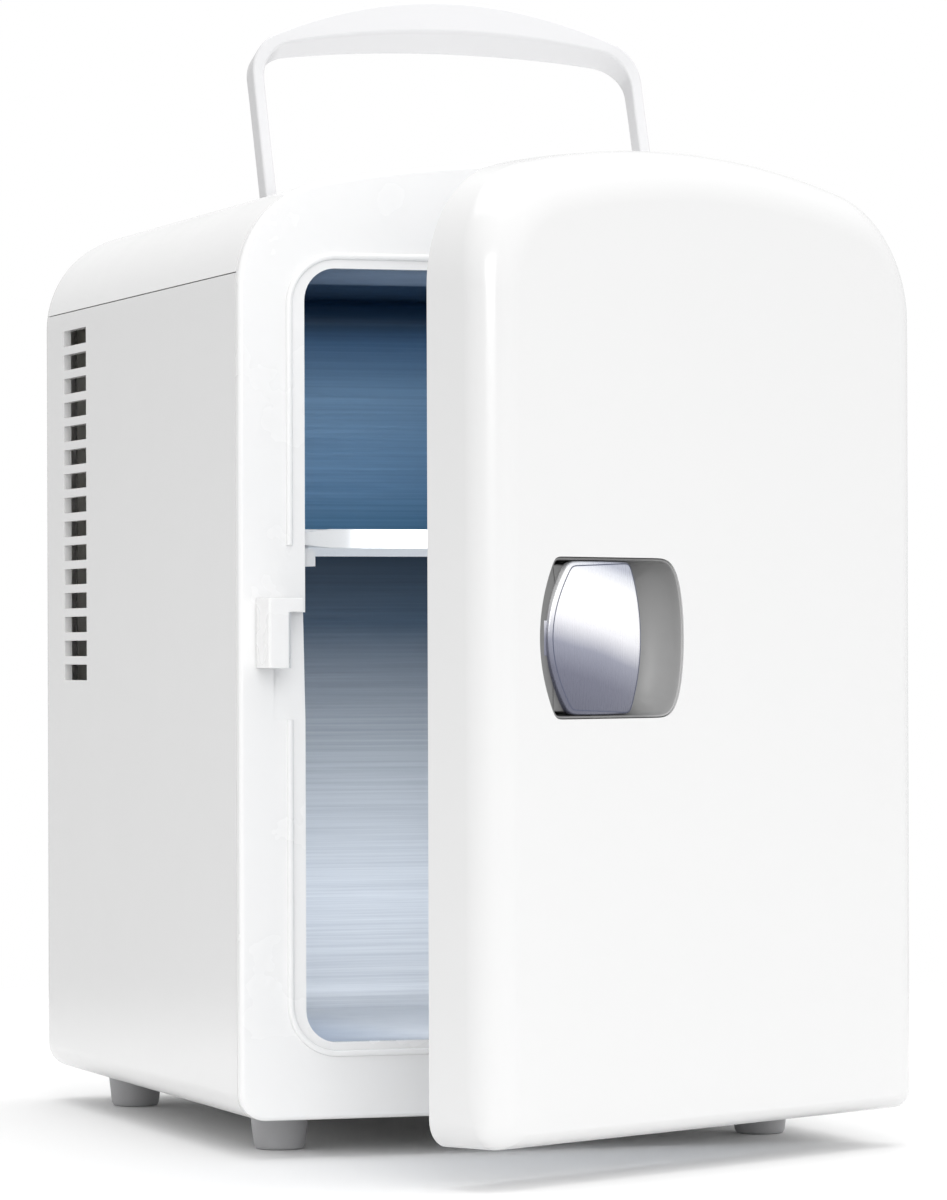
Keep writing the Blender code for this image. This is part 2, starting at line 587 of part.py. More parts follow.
KNOB = (3.0, 2.6)
SWITCH_THROW = 3.5
switch_body = boxes("switch_body", [((SWITCH_X - 11, DEPTH - 16, SOCKET_Z - 5),
                                     (SWITCH_X + 11, REAR_FACE, SOCKET_Z + 5))], BLACK)
combine(switch_body, boxes("switch_slot", [(
    (SWITCH_X - KNOB[0] - SWITCH_THROW - 0.5, DEPTH - 6, SOCKET_Z - KNOB[1] - GAP),
    (SWITCH_X + KNOB[0] + SWITCH_THROW + 0.5, DEPTH + 1, SOCKET_Z + KNOB[1] + GAP))], cutter=True))
mode_knob = boxes("mode_knob", [((SWITCH_X - KNOB[0], DEPTH - 6 + GAP, SOCKET_Z - KNOB[1]),
                                 (SWITCH_X + KNOB[0], DEPTH - 0.2, SOCKET_Z + KNOB[1]))], WHITE_INNER)
knob_centre = (SWITCH_X, DEPTH - 6 + GAP, SOCKET_Z)
hang(mode_knob, pivot("switch_axis", knob_centre), knob_centre)

screw_spots = [(sx * (HALF - 24.0), BASE + z) for z in (27.0, HEIGHT - 39.0) for sx in (-1, 1)]
combine(rear_cover, drill("screw_holes", "y", screw_spots, 1.5 + GAP, (DEPTH - 7, DEPTH + 1), 16))
combine(rear_cover, drill("screw_sinks", "y", screw_spots, 3.1 + GAP, (DEPTH - 2.6, DEPTH + 1), 20))
for name, spot in zip(("rear_screw_lower_left", "rear_screw_lower_right", "rear_screw_upper_left",
                       "rear_screw_upper_right"), screw_spots):
    turned(name, "y", spot, [(1.5, DEPTH - 11), (1.5, DEPTH - 2.6 + GAP), (3.1, DEPTH - 2.6 + GAP),
                             (3.1, DEPTH - 1.5), (2.4, DEPTH - 1.0)], STEEL, 16)

# ---------------------------------------------------------------- hinges on the frame
for name, z in zip(("lower", "upper"), HINGE_LUGS):
    low, high = BASE + z - HINGE_LUG_HEIGHT / 2, BASE + z + HINGE_LUG_HEIGHT / 2
    flank = HALF - FRAME_EDGE - 0.2
    cut = 360 - math.degrees(math.acos((flank - HINGE_X) / HINGE_LUG_R))
    plan = [(HINGE_X - HINGE_LUG_R, -GAP)] + arc(HINGE_X, HINGE_Y, HINGE_LUG_R, 180, cut, 11)
    plan.append((flank, -GAP))
    lug = loft(f"hinge_lug_{name}", [[(x, y, level) for x, y in plan] for level in (low, high)], WHITE)
    combine(lug, drill(f"lug_bore_{name}", "z", [(HINGE_X, HINGE_Y)], HINGE_PIN_R + HINGE_RUN,
                       (low - 1, high + 1), 24))
    turned(f"hinge_pin_{name}", "z", (HINGE_X, HINGE_Y),
           [(HINGE_PIN_R, low - 9.0), (HINGE_PIN_R, high + 9.0)], STEEL, 24)

# ---------------------------------------------------------------- door
hinge_point = (HINGE_X, HINGE_Y, 0)
door_pivot = pivot("door_axis", hinge_point)


def door_outline(blend, inset=0.0):
    """From the door's outer edge at blend 0 to the edge of its flat front at blend 1."""
    stations = (24.0, DOOR_TOP - 49.6)
    outer = arched(inset, high=DOOR_TOP, radius=DOOR_TOP_RADIUS, corner=DOOR_TOP_CORNER,
                   stations=stations)
    flat = arched(0.0, HALF - DOOR_SIDE_ROUND - inset, DOOR_BOTTOM_ROUND + inset,
                  DOOR_TOP - DOOR_TOP_ROUND - inset, DOOR_TOP_RADIUS - DOOR_TOP_ROUND,
                  DOOR_TOP_CORNER - DOOR_SIDE_ROUND, 4.0, stations=stations)
    return [(a + (b - a) * blend, c + (d - c) * blend) for (a, c), (b, d) in zip(outer, flat)]


def door_depth(x, z, inset=0.0):
    """How much of the thickness the front rounding takes, by where on the edge it is."""
    level = (z - BASE) / DOOR_TOP
    low = max(0.0, 1 - level / 0.06)
    high = min(1.0, max(0.0, (level - 0.83) / 0.15))
    size = DOOR_SIDE_ROUND + (DOOR_TOP_ROUND - DOOR_SIDE_ROUND) * high
    return size + (DOOR_BOTTOM_ROUND + 2.0 - size) * low


def door_skin(inset, back, steps, rise=DOOR_HEEL):
    """Rings from the back rim, round the front edge, to the edge of the flat front."""
    outer, flat = door_outline(0.0, inset), door_outline(1.0, inset)
    face = FRONT_DOOR + inset
    heel = HALF - DOOR_HEEL
    rings = [[(min(x, heel), back, z) for x, z in outer], at(outer, back - rise)]
    for i in range(steps + 1):
        angle = math.pi / 2 * i / steps
        ring = []
        for (ox, oz), (fx, fz) in zip(outer, flat):
            deep = door_depth(ox, oz)
            blend = 1 - math.cos(angle)
            ring.append((ox + (fx - ox) * blend, face + deep * (1 - math.sin(angle)),
                         oz + (fz - oz) * blend))
        rings.append(ring)
    return rings


DOOR_BACK = -DOOR_GAP
door_shell = loft("door_shell", door_skin(DOOR_WALL, DOOR_BACK, 4)[::-1] + door_skin(0.0, DOOR_BACK, 5),
                  WHITE)


def barrel(left, right, half, steps=8, fullness=0.26):
    """Outline (x, z) with straight top and bottom, a bowed left side and a fuller right side."""
    points = []
    levels = [half * math.cos(math.pi * i / steps) for i in range(steps + 1)]
    for z in reversed(levels):
        points.append((right[0] + (right[1] - right[0]) * max(0.0, 1 - (z / half) ** 2) ** fullness, z))
    for z in levels:
        points.append((left[0] + (left[1] - left[0]) * (1 - (z / half) ** 2), z))
    return [(x, BASE + LATCH_Z + z) for x, z in points]


def grown(outline, amount):
    """The same closed outline, moved outwards from its middle by amount."""
    made = []
    count = len(outline)
    for i, (x, z) in enumerate(outline):
        before, after = outline[i - 1], outline[(i + 1) % count]
        run = Vector((after[0] - before[0], after[1] - before[1])).normalized()
        made.append((x + run.y * amount, z - run.x * amount))
    return made


cup_edge = barrel(CUP_LEFT, CUP_RIGHT, CUP_HALF)
combine(door_shell, loft("cup_window", [at(cup_edge, y) for y in (FRONT_DOOR - 2, FRONT_DOOR + 6)], None,
                         cutter=True))

CUP_WALL = 1.6
COLLAR = (0.2, 0.8)       # outside and inside of the cup's rim, inwards from the window's edge
cup_front = FRONT_DOOR + DOOR_WALL + GAP
cup_back = FRONT_DOOR + CUP_DEPTH
cup_inside = [at(grown(cup_edge, -2.0), cup_back - CUP_WALL),
              at(grown(cup_edge, -COLLAR[1]), cup_back - CUP_WALL - 2.0),
              at(grown(cup_edge, -COLLAR[1]), FRONT_DOOR + GAP)]
cup_outside = [at(grown(cup_edge, -COLLAR[0]), FRONT_DOOR + GAP),
               at(grown(cup_edge, -COLLAR[0]), cup_front),
               at(grown(cup_edge, CUP_WALL + 2.4), cup_front),
               at(grown(cup_edge, CUP_WALL + 2.4), cup_front + 1.4),
               at(grown(cup_edge, CUP_WALL), cup_front + 1.4), at(grown(cup_edge, CUP_WALL), cup_back)]
latch_cup = loft("latch_cup", cup_inside + cup_outside, GREY)

# The hook reaches back through the cup and the door's lining to the catch.
HOOK_Z = (BASE + LATCH_Z - 4.7, BASE + LATCH_Z + 4.7)
HOOK_TIP = -CATCH_PROUD + 3.4
combine(latch_cup, boxes("cup_hook_window", [(
    (LATCH_AXIS_X - 6.4, FRONT_DOOR + 5.0, HOOK_Z[0] - 1.0), (LATCH_AXIS_X + 5.5, cup_back + 2, HOOK_Z[1] + 1.0),
)], cutter=True))

LINER_Y = -3.6
PAN = 1.6
door_inner = loft("door_liner", [
    at(arched(DOOR_WALL + GAP, high=DOOR_TOP, radius=DOOR_TOP_RADIUS, corner=DOOR_TOP_CORNER), y)
    for y in (LINER_Y - PAN, LINER_Y)], WHITE_INNER)
catch_pocket = ((CATCH_X[0] - 1.6, -CATCH_PROUD - 1.9, BASE + CATCH_Z[0] - 2.5),
                (LATCH_AXIS_X + 4.0, 2.0, BASE + CATCH_Z[1] + 2.5))
combine(door_inner, boxes("liner_catch_window", [catch_pocket], cutter=True))

FOAM_FIT = DOOR_WALL + GAP + 0.2
door_foam = loft("door_foam", door_skin(FOAM_FIT, LINER_Y - PAN - GAP, 4, rise=GAP), FOAM)
combine(door_foam, boxes("foam_catch_window", [(
    (-HALF - 1, FRONT_DOOR - 2, BASE + CATCH_Z[0] - 3.5),
    (LATCH_AXIS_X + 9.0, 2.0, BASE + CATCH_Z[1] + 3.5))], cutter=True))
combine(door_foam, loft("foam_cup_window", [at(grown(cup_edge, CUP_WALL + 2.4 + GAP), y)
                                            for y in (FRONT_DOOR - 2, cup_back + GAP)], None, cutter=True))

POST = HINGE_PIN_R + 3.7
lug_windows, posts, post_room = [], [], []
for z in HINGE_LUGS:
    low, high = BASE + z - HINGE_LUG_HEIGHT / 2 - 0.8, BASE + z + HINGE_LUG_HEIGHT / 2 + 0.8
    lug_windows.append(((HINGE_X - HINGE_LUG_R - 0.8, HINGE_Y - HINGE_LUG_R - 0.8, low), (HALF + 2, 2.0, high)))
    posts.append(((HINGE_X - POST, HINGE_Y - POST, low - 11), (HALF - 1.6, DOOR_BACK - 0.6, high + 11)))
    post_room.append(((HINGE_X - POST - GAP, -30.0, low - 11 - GAP), (HALF + 2, 2.0, high + 11 + GAP)))
combine(door_shell, boxes("hinge_posts", posts, cutter=True), "UNION")
combine(door_shell, boxes("hinge_windows", lug_windows, cutter=True))
combine(door_inner, boxes("liner_hinge_room", post_room, cutter=True))
combine(door_foam, boxes("foam_hinge_room", post_room, cutter=True))
pin_bores = bmesh.new()
for z in HINGE_LUGS:
    reach = HINGE_LUG_HEIGHT / 2 + 10.0
    add_turned(pin_bores, "z", (HINGE_X, HINGE_Y), [
        (HINGE_PIN_R + HINGE_RUN, BASE + z - reach), (HINGE_PIN_R + HINGE_RUN, BASE + z + reach)])
combine(door_shell, place("pin_bores", pin_bores, None, cutter=True))

seal_section = [(-1.6, LINER_Y + GAP), (-1.9, -2.6), (-1.0, -1.9), (1.0, -1.9), (1.9, -2.6),
                (1.6, LINER_Y + GAP)]
seal_path = broken_ring(BEAD_HALF, OPENING_LOW - 2.9, OPENING_HIGH + 3.2, BEAD_CORNER,
                        CATCH_Z[0] - 6.0, CATCH_Z[1] + 6.0)
door_gasket = loft("door_gasket", swept(seal_path, seal_section), SEAL)

# ---------------------------------------------------------------- latch lever
LEVER_MIDDLE = (LEVER_LEFT[1] + LEVER_RIGHT[1]) / 2
lever_face = FRONT_DOOR - 0.4


def lever_level(z, inset, face, thick):
    """One level of the lever: a bowed front from side to side and a bowed back behind it."""
    bow = 1 - (z / LEVER_HALF) ** 2
    left = LEVER_LEFT[0] + (LEVER_LEFT[1] - LEVER_LEFT[0]) * bow + inset
    right = LEVER_RIGHT[0] + (LEVER_RIGHT[1] - LEVER_RIGHT[0]) * bow - inset
    reach = (LEVER_RIGHT[1] - LEVER_LEFT[1]) / 2
    front, back = [], []
    for i in range(9):
        x = left + (right - left) * i / 8
        y = face + LEVER_CROWN * ((x - LEVER_MIDDLE) / reach) ** 2
        edge = 0.5 if i in (0, 8) else 0.0
        front.append((x, y + edge, BASE + LATCH_Z + z))
        back.append((x, y + thick - edge, BASE + LATCH_Z + z))
    return front + back[::-1]


lever_rings = [lever_level(-LEVER_HALF, 0.5, lever_face + 0.5, LEVER_THICK - 1.0)]
for i in range(9):
    lever_rings.append(lever_level((i / 4 - 1) * (LEVER_HALF - 0.6), 0.0, lever_face, LEVER_THICK))
lever_rings.append(lever_level(LEVER_HALF, 0.5, lever_face + 0.5, LEVER_THICK - 1.0))
latch_lever = loft("latch_lever", lever_rings, SATIN)

latch_axis_y = FRONT_DOOR + 6.2
arm = bmesh.new()
add_turned(arm, "z", (LATCH_AXIS_X, latch_axis_y), [(2.4, HOOK_Z[0]), (2.4, HOOK_Z[1])], 20)
add_box(arm, (LATCH_AXIS_X - 1.0, FRONT_DOOR + 2.9, HOOK_Z[0] + 0.4),
        (LATCH_AXIS_X + 6.0, latch_axis_y + 1.0, HOOK_Z[1] - 0.4))
HOOK = (LATCH_AXIS_X - 12.0, LATCH_AXIS_X - 1.6, LATCH_AXIS_X + 1.8)   # tip, back and front of the arm
hook_plan = [(HOOK[1], latch_axis_y + 0.5), (HOOK[2], latch_axis_y + 0.5), (HOOK[2], HOOK_TIP + 3.2),
             (HOOK[0], HOOK_TIP + 3.2), (HOOK[0], HOOK_TIP + 0.6), (HOOK[0] + 1.4, HOOK_TIP), (HOOK[1], HOOK_TIP)]
add_loft(arm, [[(x, y, z) for x, y in hook_plan] for z in (HOOK_Z[0] + 0.8, HOOK_Z[1] - 0.8)])
arm = place("lever_arm", arm, None, cutter=True)
combine(latch_lever, arm, "UNION", crossing=True)
combine(latch_lever, drill("lever_bore", "z", [(LATCH_AXIS_X, latch_axis_y)], LATCH_PIN_R + HINGE_RUN,
                           (HOOK_Z[0] - 2, HOOK_Z[1] + 2), 20))
latch_pin = turned("latch_pin", "z", (LATCH_AXIS_X, latch_axis_y),
                   [(LATCH_PIN_R, HOOK_Z[0] - 6.0), (LATCH_PIN_R, HOOK_Z[1] + 6.0)], STEEL, 20)

for made in (door_shell, door_inner, door_foam, door_gasket, latch_cup, latch_pin):
    hang(made, door_pivot, hinge_point)
    for step in made.modifiers:
        hang(step.object, door_pivot, hinge_point)
latch_point = (LATCH_AXIS_X, latch_axis_y, 0)
lever_pivot = pivot("latch_axis", (LATCH_AXIS_X - HINGE_X, latch_axis_y - HINGE_Y, 0))
lever_pivot.parent = door_pivot
hang(latch_lever, lever_pivot, latch_point)
for step in latch_lever.modifiers:
    hang(step.object, lever_pivot, latch_point)
door_pivot.rotation_euler = (0, 0, math.radians(DOOR_OPEN))

# ---------------------------------------------------------------- bail handle and its wells
leg_x = HANDLE_HALF - HANDLE_LEG / 2
handle_point = (0, HANDLE_AXIS_Y, BASE + HANDLE_AXIS_Z)


def crown_z(x):
    """Height of the arched top at x."""
    return BASE + HEIGHT - TOP_RADIUS + math.sqrt(TOP_RADIUS**2 - x**2)


wells, bores = bmesh.new(), bmesh.new()
rooms, foam_rooms = [], []
for side in (-1, 1):
    x0, x1 = side * leg_x - WELL[0] / 2, side * leg_x + WELL[0] / 2
    y0, y1 = HANDLE_AXIS_Y - WELL[1], HANDLE_AXIS_Y + WELL[2]
    low = BASE + HANDLE_AXIS_Z - WELL[3] + 6.0
    around = [(x0 - 1.6, y0 - 1.6), (x1 + 1.6, y0 - 1.6), (x1 + 1.6, y1 + 1.6), (x0 - 1.6, y1 + 1.6)]
    add_loft(wells, [[(x, y, low - 1.6) for x, y in around],
                     [(x, y, crown_z(x) - WALL / 2) for x, y in around]])
    rooms.append(((x0, y0, low), (x1, y1, BASE + HEIGHT + 5)))
    foam_rooms.append(((x0 - 2.2, y0 - 2.2, low - 2.2), (x1 + 2.2, y1 + 2.2, BASE + HEIGHT + 5)))
    add_turned(bores, "x", handle_point[1:], [
        (TRUNNION_R + HINGE_RUN, x0 - 3.0), (TRUNNION_R + HINGE_RUN, x1 + 3.0)], 20)
combine(top_cover, place("handle_wells", wells, None, cutter=True), "UNION")
combine(foam, boxes("foam_well_rooms", foam_rooms, cutter=True))
combine(top_cover, boxes("handle_rooms", rooms, cutter=True))
combine(top_cover, place("trunnion_bores", bores, None, cutter=True))


def bail(half, crown, radius, corner):
    """Half an outline (x, up), from beside the pivot up a leg and round to the crown."""
    side = half - corner
    middle = crown - radius + math.sqrt((radius - corner) ** 2 - side**2)
    lean = math.degrees(math.asin(side / (radius - corner)))
    points = [(half, 0.0), (half, middle / 2)]
    points += arc(side, middle, corner, 0, 90 - lean, 8)
    return points + arc(0, crown - radius, radius, 90 - lean, 90, 7)[1:]


def whole(half_path):
    return half_path + [(-x, up) for x, up in reversed(half_path[:-1])]


outer = whole(bail(HANDLE_HALF, HANDLE_CROWN, HANDLE_ARCH, HANDLE_CORNER))
under = HANDLE_CROWN - HANDLE_GRIP
inner = whole(bail(HANDLE_HALF - HANDLE_LEG, under, HANDLE_UNDER, HANDLE_INNER))
handle_rings = []
for (ox, oz), (ix, iz) in zip(outer, inner):
    fullness = max(0.0, (iz - 0.6 * under) / (0.4 * under)) ** 3
    deep = HANDLE_LEG_DEEP + (HANDLE_GRIP_DEEP - HANDLE_LEG_DEEP) * fullness
    ring = []
    for u, v in ((0.0, -0.42), (0.14, -0.5), (0.86, -0.5), (1.0, -0.42),
                 (1.0, 0.42), (0.86, 0.5), (0.14, 0.5), (0.0, 0.42)):
        ring.append((ox + (ix - ox) * u, v * deep, oz + (iz - oz) * u))
    handle_rings.append(ring)
handle = loft("handle", handle_rings, WHITE)
ends = bmesh.new()
for side in (-1, 1):
    near, far = sorted((side * (HANDLE_HALF - HANDLE_LEG), side * HANDLE_HALF))
    eye = HANDLE_LEG_DEEP / 2 + 0.4
    add_turned(ends, "x", (0, 0), [(eye, near - 0.3), (eye, far + 0.3)])
    add_turned(ends, "x", (0, 0), [(TRUNNION_R, near - TRUNNION_REACH), (TRUNNION_R, far + TRUNNION_REACH)], 20)
ends = place("handle_ends", ends, None, cutter=True)
combine(handle, ends, "UNION", crossing=True)
handle_pivot = pivot("handle_axis", handle_point)
handle_pivot.rotation_euler = (math.radians(-HANDLE_LEAN), 0, 0)
handle.parent = handle_pivot
ends.parent = handle_pivot

# ---------------------------------------------------------------- footprint centred on the origin
bpy.context.view_layer.update()
graph = bpy.context.evaluated_depsgraph_get()
low, high = Vector((9, 9, 9)), Vector((-9, -9, -9))
for made in fridge.objects:
    if made.type != "MESH":
        continue
    shaped = made.evaluated_get(graph)
    for vertex in shaped.to_mesh().vertices:
        point = shaped.matrix_world @ vertex.co
        low = Vector(map(min, low, point))
        high = Vector(map(max, high, point))
    shaped.to_mesh_clear()
datum = bpy.data.objects.new("datum", None)
fridge.objects.link(datum)
for made in list(fridge.objects) + list(cutters.objects):
    if made.parent is None and made is not datum:
        made.parent = datum
datum.location = (-(low.x + high.x) / 2, -(low.y + high.y) / 2, 0)
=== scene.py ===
import math

import bmesh
import bpy
from mathutils import Matrix, Vector


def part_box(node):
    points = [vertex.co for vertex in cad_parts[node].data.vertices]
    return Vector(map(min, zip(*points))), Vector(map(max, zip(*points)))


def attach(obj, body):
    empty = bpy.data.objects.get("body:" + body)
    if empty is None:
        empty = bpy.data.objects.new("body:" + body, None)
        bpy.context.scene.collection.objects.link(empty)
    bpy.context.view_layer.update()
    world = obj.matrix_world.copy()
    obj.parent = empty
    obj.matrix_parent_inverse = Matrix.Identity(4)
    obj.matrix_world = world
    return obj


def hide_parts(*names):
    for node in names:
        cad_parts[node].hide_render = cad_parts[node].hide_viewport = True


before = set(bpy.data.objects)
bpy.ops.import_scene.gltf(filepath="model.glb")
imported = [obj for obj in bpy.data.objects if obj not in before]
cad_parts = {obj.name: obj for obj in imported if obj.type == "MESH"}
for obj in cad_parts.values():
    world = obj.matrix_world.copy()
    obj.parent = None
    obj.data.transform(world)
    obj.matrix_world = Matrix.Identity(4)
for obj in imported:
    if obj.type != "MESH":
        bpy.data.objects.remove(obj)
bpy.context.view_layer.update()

# ---------------------------------------------------------------- sizes, mm, as in the CAD source
MM = 0.001
WIDTH, DEPTH, HEIGHT, BASE = 176.0, 218.0, 251.0, 10.0
HALF = WIDTH / 2
WALL, GAP = 2.2, 0.3
TOP_RADIUS, TOP_CORNER, BOTTOM_CORNER, REAR_ROUND = 350.0, 28.0, 7.0, 14.0
PARTING = 221.0
FRAME_RIM, FRAME_EDGE, FRAME_FLANGE = 3.3, 1.2, 9.0
OPENING_HALF, OPENING_LOW, OPENING_HIGH, OPENING_CORNER = 70.2, 20.1, 222.2, 8.5
CAVITY_DEPTH, LINER, TUB_ROUND = 137.0, 1.0, 7.0
BEAD_HALF, BEAD_CORNER, BEAD_WIDTH, BEAD_PROUD = 74.45, 13.0, 1.7, 1.0
BEAD_GAP = (104.4, 149.9)
SHELF_TOP, SHELF_THICK, SHELF_DEPTH = 154.2, 5.0, 127.0
VENT_COUNT, VENT_LOW, VENT_HIGH, VENT_SLOT = 15, 114.1, 215.6, 4.5
VENT_FROM, VENT_TO = 159.4, 185.2
FOOT_TOP_R, FOOT_TIP_R, FOOT_X, FOOT_FRONT, FOOT_REAR = 7.75, 6.85, 68.5, 31.0, 180.0
DOOR_GAP, DOOR_THICK, DOOR_TOP, DOOR_TOP_RADIUS, DOOR_TOP_CORNER = 1.0, 21.2, 249.6, 315.0, 32.0
DOOR_WALL, DOOR_SIDE_ROUND, DOOR_TOP_ROUND, DOOR_BOTTOM_ROUND = 2.4, 9.4, 13.4, 4.0
DOOR_OPEN, DOOR_HEEL, HINGE_X, HINGE_Y = 30.8, 1.5, 84.2, -4.8
HINGE_PIN_R, HINGE_RUN, HINGE_LUG_R, HINGE_LUG_HEIGHT, HINGE_LUGS = 1.5, 0.1, 4.0, 10.0, (28.0, 212.0)
CATCH_Z, CATCH_X, CATCH_PROUD, CATCH_BARB, CATCH_ROOF = (117.9, 136.0), (-83.6, -78.8), 12.3, 1.5, 3.6
LATCH_Z, CUP_LEFT, CUP_RIGHT, CUP_HALF, CUP_DEPTH = 125.3, (-64.3, -70.4), (-25.4, -13.8), 20.1, 13.0
LEVER_LEFT, LEVER_RIGHT, LEVER_HALF, LEVER_THICK = (-57.5, -65.0), (-33.5, -28.7), 19.1, 2.4
LEVER_CROWN, LATCH_AXIS_X = 2.2, -66.0
HANDLE_AXIS_Y, HANDLE_AXIS_Z, HANDLE_HALF, HANDLE_LEG = 80.0, 240.5, 57.4, 3.2
HANDLE_CROWN, HANDLE_ARCH, HANDLE_UNDER, HANDLE_GRIP = 66.0, 120.0, 300.0, 10.0
HANDLE_CORNER, HANDLE_INNER, HANDLE_LEAN = 12.0, 10.5, 20.0
HANDLE_LEG_DEEP, HANDLE_GRIP_DEEP, TRUNNION_R = 6.6, 14.5, 1.8
WELL = (6.4, 9.0, 30.0, 10.0)
FRONT_DOOR = -(DOOR_GAP + DOOR_THICK)
DOOR_BACK = -DOOR_GAP

shell_low, shell_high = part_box("lower_shell")
ORIGIN = Vector(((shell_low.x + shell_high.x) / 2, shell_high.y - DEPTH * MM, 0.0))
IN_PLACE = Matrix.Translation(ORIGIN) @ Matrix.Diagonal((MM, MM, MM, 1.0))
HINGE = Matrix.Translation((HINGE_X, HINGE_Y, 0.0))
AJAR = IN_PLACE @ HINGE @ Matrix.Rotation(math.radians(DOOR_OPEN), 4, "Z") @ HINGE.inverted()
HANDLE_PLACE = (IN_PLACE @ Matrix.Translation((0.0, HANDLE_AXIS_Y, BASE + HANDLE_AXIS_Z))
                @ Matrix.Rotation(math.radians(-HANDLE_LEAN), 4, "X"))
LEVER_AT = AJAR @ Vector(((LEVER_LEFT[1] + LEVER_RIGHT[1]) / 2, FRONT_DOOR, BASE + LATCH_Z))

# ---------------------------------------------------------------- materials


class Finish:
    """A node material: a Principled shader, object coordinates and short ways to add to them."""

    def __init__(self, name, colour, roughness, metallic=0.0, coat=0.0, coat_roughness=0.05):
        self.material = bpy.data.materials.new(name)
        self.material.use_nodes = True
        self.tree = self.material.node_tree
        self.shader = self.tree.nodes["Principled BSDF"]
        self.set(self.shader, "Base Color", (*colour, 1.0))
        self.set(self.shader, "Roughness", roughness)
        self.set(self.shader, "Metallic", metallic)
        self.set(self.shader, "Coat Weight", coat)
        self.set(self.shader, "Coat Roughness", coat_roughness)
        self.place = self.tree.nodes.new("ShaderNodeTexCoord").outputs["Object"]
        self.material.diffuse_color = (*colour, 1.0)

    def set(self, node, socket, value):
        node.inputs[socket].default_value = value

    def join(self, source, node, socket):
        self.tree.links.new(source, node.inputs[socket])

    def stretched(self, scale):
        """Object coordinates scaled per axis."""
        node = self.tree.nodes.new("ShaderNodeMapping")
        self.join(self.place, node, "Vector")
        self.set(node, "Scale", scale)
        return node.outputs["Vector"]

    def noise(self, scale, detail=3.0, stretch=None, rough=0.5):
        node = self.tree.nodes.new("ShaderNodeTexNoise")
        self.join(self.place if stretch is None else self.stretched(stretch), node, "Vector")
        self.set(node, "Scale", scale)
        self.set(node, "Detail", detail)
        self.set(node, "Roughness", rough)
        return node.outputs["Fac"]

    def cells(self, scale):
        node = self.tree.nodes.new("ShaderNodeTexVoronoi")
        self.join(self.place, node, "Vector")
        self.set(node, "Scale", scale)
        return node.outputs["Distance"]

    def spread(self, source, low, high, start=0.3, stop=0.7):
        """Maps source from start..stop to low..high."""
        node = self.tree.nodes.new("ShaderNodeMapRange")
        self.join(source, node, "Value")
        for socket, value in (("From Min", start), ("From Max", stop), ("To Min", low), ("To Max", high)):
            self.set(node, socket, value)
        return node.outputs["Result"]

    def ramp(self, source, stops):
        node = self.tree.nodes.new("ShaderNodeValToRGB")
        self.join(source, node, "Fac")
        marks = node.color_ramp.elements
        while len(marks) < len(stops):
            marks.new(0.5)
        for mark, (where, colour) in zip(marks, stops):
            mark.position = where
            mark.color = (*colour, 1.0)
        return node.outputs["Color"]

    def axis(self, letter):
        node = self.tree.nodes.new("ShaderNodeSeparateXYZ")
        self.join(self.place, node, "Vector")
        return node.outputs[letter]

    def along(self, direction):
        node = self.tree.nodes.new("ShaderNodeVectorMath")
        node.operation = "DOT_PRODUCT"
        self.join(self.place, node, 0)
        node.inputs[1].default_value = direction
        return node.outputs["Value"]

    def mix(self, first, second, amount, blend="MIX"):
        node = self.tree.nodes.new("ShaderNodeMix")
        node.data_type = "RGBA"
        node.blend_type = blend
        for socket, value in ((0, amount), (6, first), (7, second)):
            if isinstance(value, (int, float)):
                node.inputs[socket].default_value = value
            elif isinstance(value, tuple):
                node.inputs[socket].default_value = (*value, 1.0)
            else:
                self.tree.links.new(value, node.inputs[socket])
        return node.outputs[2]

    def math(self, kind, first, second=0.0):
        node = self.tree.nodes.new("ShaderNodeMath")
        node.operation = kind
        for socket, value in ((0, first), (1, second)):
            if isinstance(value, (int, float)):
                node.inputs[socket].default_value = value
            else:
                self.tree.links.new(value, node.inputs[socket])
        return node.outputs[0]

    def bump(self, source, height, strength=1.0):
        """height is in metres."""
        node = self.tree.nodes.new("ShaderNodeBump")
        self.set(node, "Strength", strength)
        self.set(node, "Distance", height)
        self.join(source, node, "Height")
        if self.shader.inputs["Normal"].is_linked:
            self.join(self.shader.inputs["Normal"].links[0].from_socket, node, "Normal")
        self.join(node.outputs["Normal"], self.shader, "Normal")

    def colour_by(self, source):
        self.join(source, self.shader, "Base Color")

    def rough_by(self, source):
        self.join(source, self.shader, "Roughness")


def shade(colour, factor):
    return tuple(min(1.0, c * factor) for c in colour)


def moulded(name, colour, roughness=0.24, coat=0.35, grain=0.00002, specks=0.0):
    """Injection-moulded plastic: faint tone drift, orange peel and uneven polish."""
    made = Finish(name, colour, roughness, coat=coat, coat_roughness=0.14)
    drift = made.noise(9.0, 2.0)
    tone = made.mix(shade(colour, 0.996), shade(colour, 1.004), made.spread(drift, 0.0, 1.0, 0.1, 0.9))
    if specks:
        fleck = made.noise(2600.0, 1.0)
        tone = made.mix(tone, shade(colour, 1 - specks), made.spread(fleck, 0.0, 1.0, 0.62, 0.72))
    made.colour_by(tone)
    made.rough_by(made.spread(made.noise(38.0, 4.0), roughness * 0.9, roughness * 1.15, 0.1, 0.9))
    made.bump(made.noise(700.0, 2.0), grain, 0.35)
    return made.material


def matt_moulded(name, colour, roughness=0.5, grain=0.00005):
    """Plastic from a spark-eroded tool: a fine even texture."""
    made = Finish(name, colour, roughness)
    drift = made.spread(made.noise(30.0), 0.0, 1.0)
    made.colour_by(made.mix(shade(colour, 0.94), shade(colour, 1.04), drift))
    made.rough_by(made.spread(made.noise(400.0, 2.0), roughness * 0.9, min(1.0, roughness * 1.15)))
    made.bump(made.cells(2200.0), grain, 0.5)
    return made.material


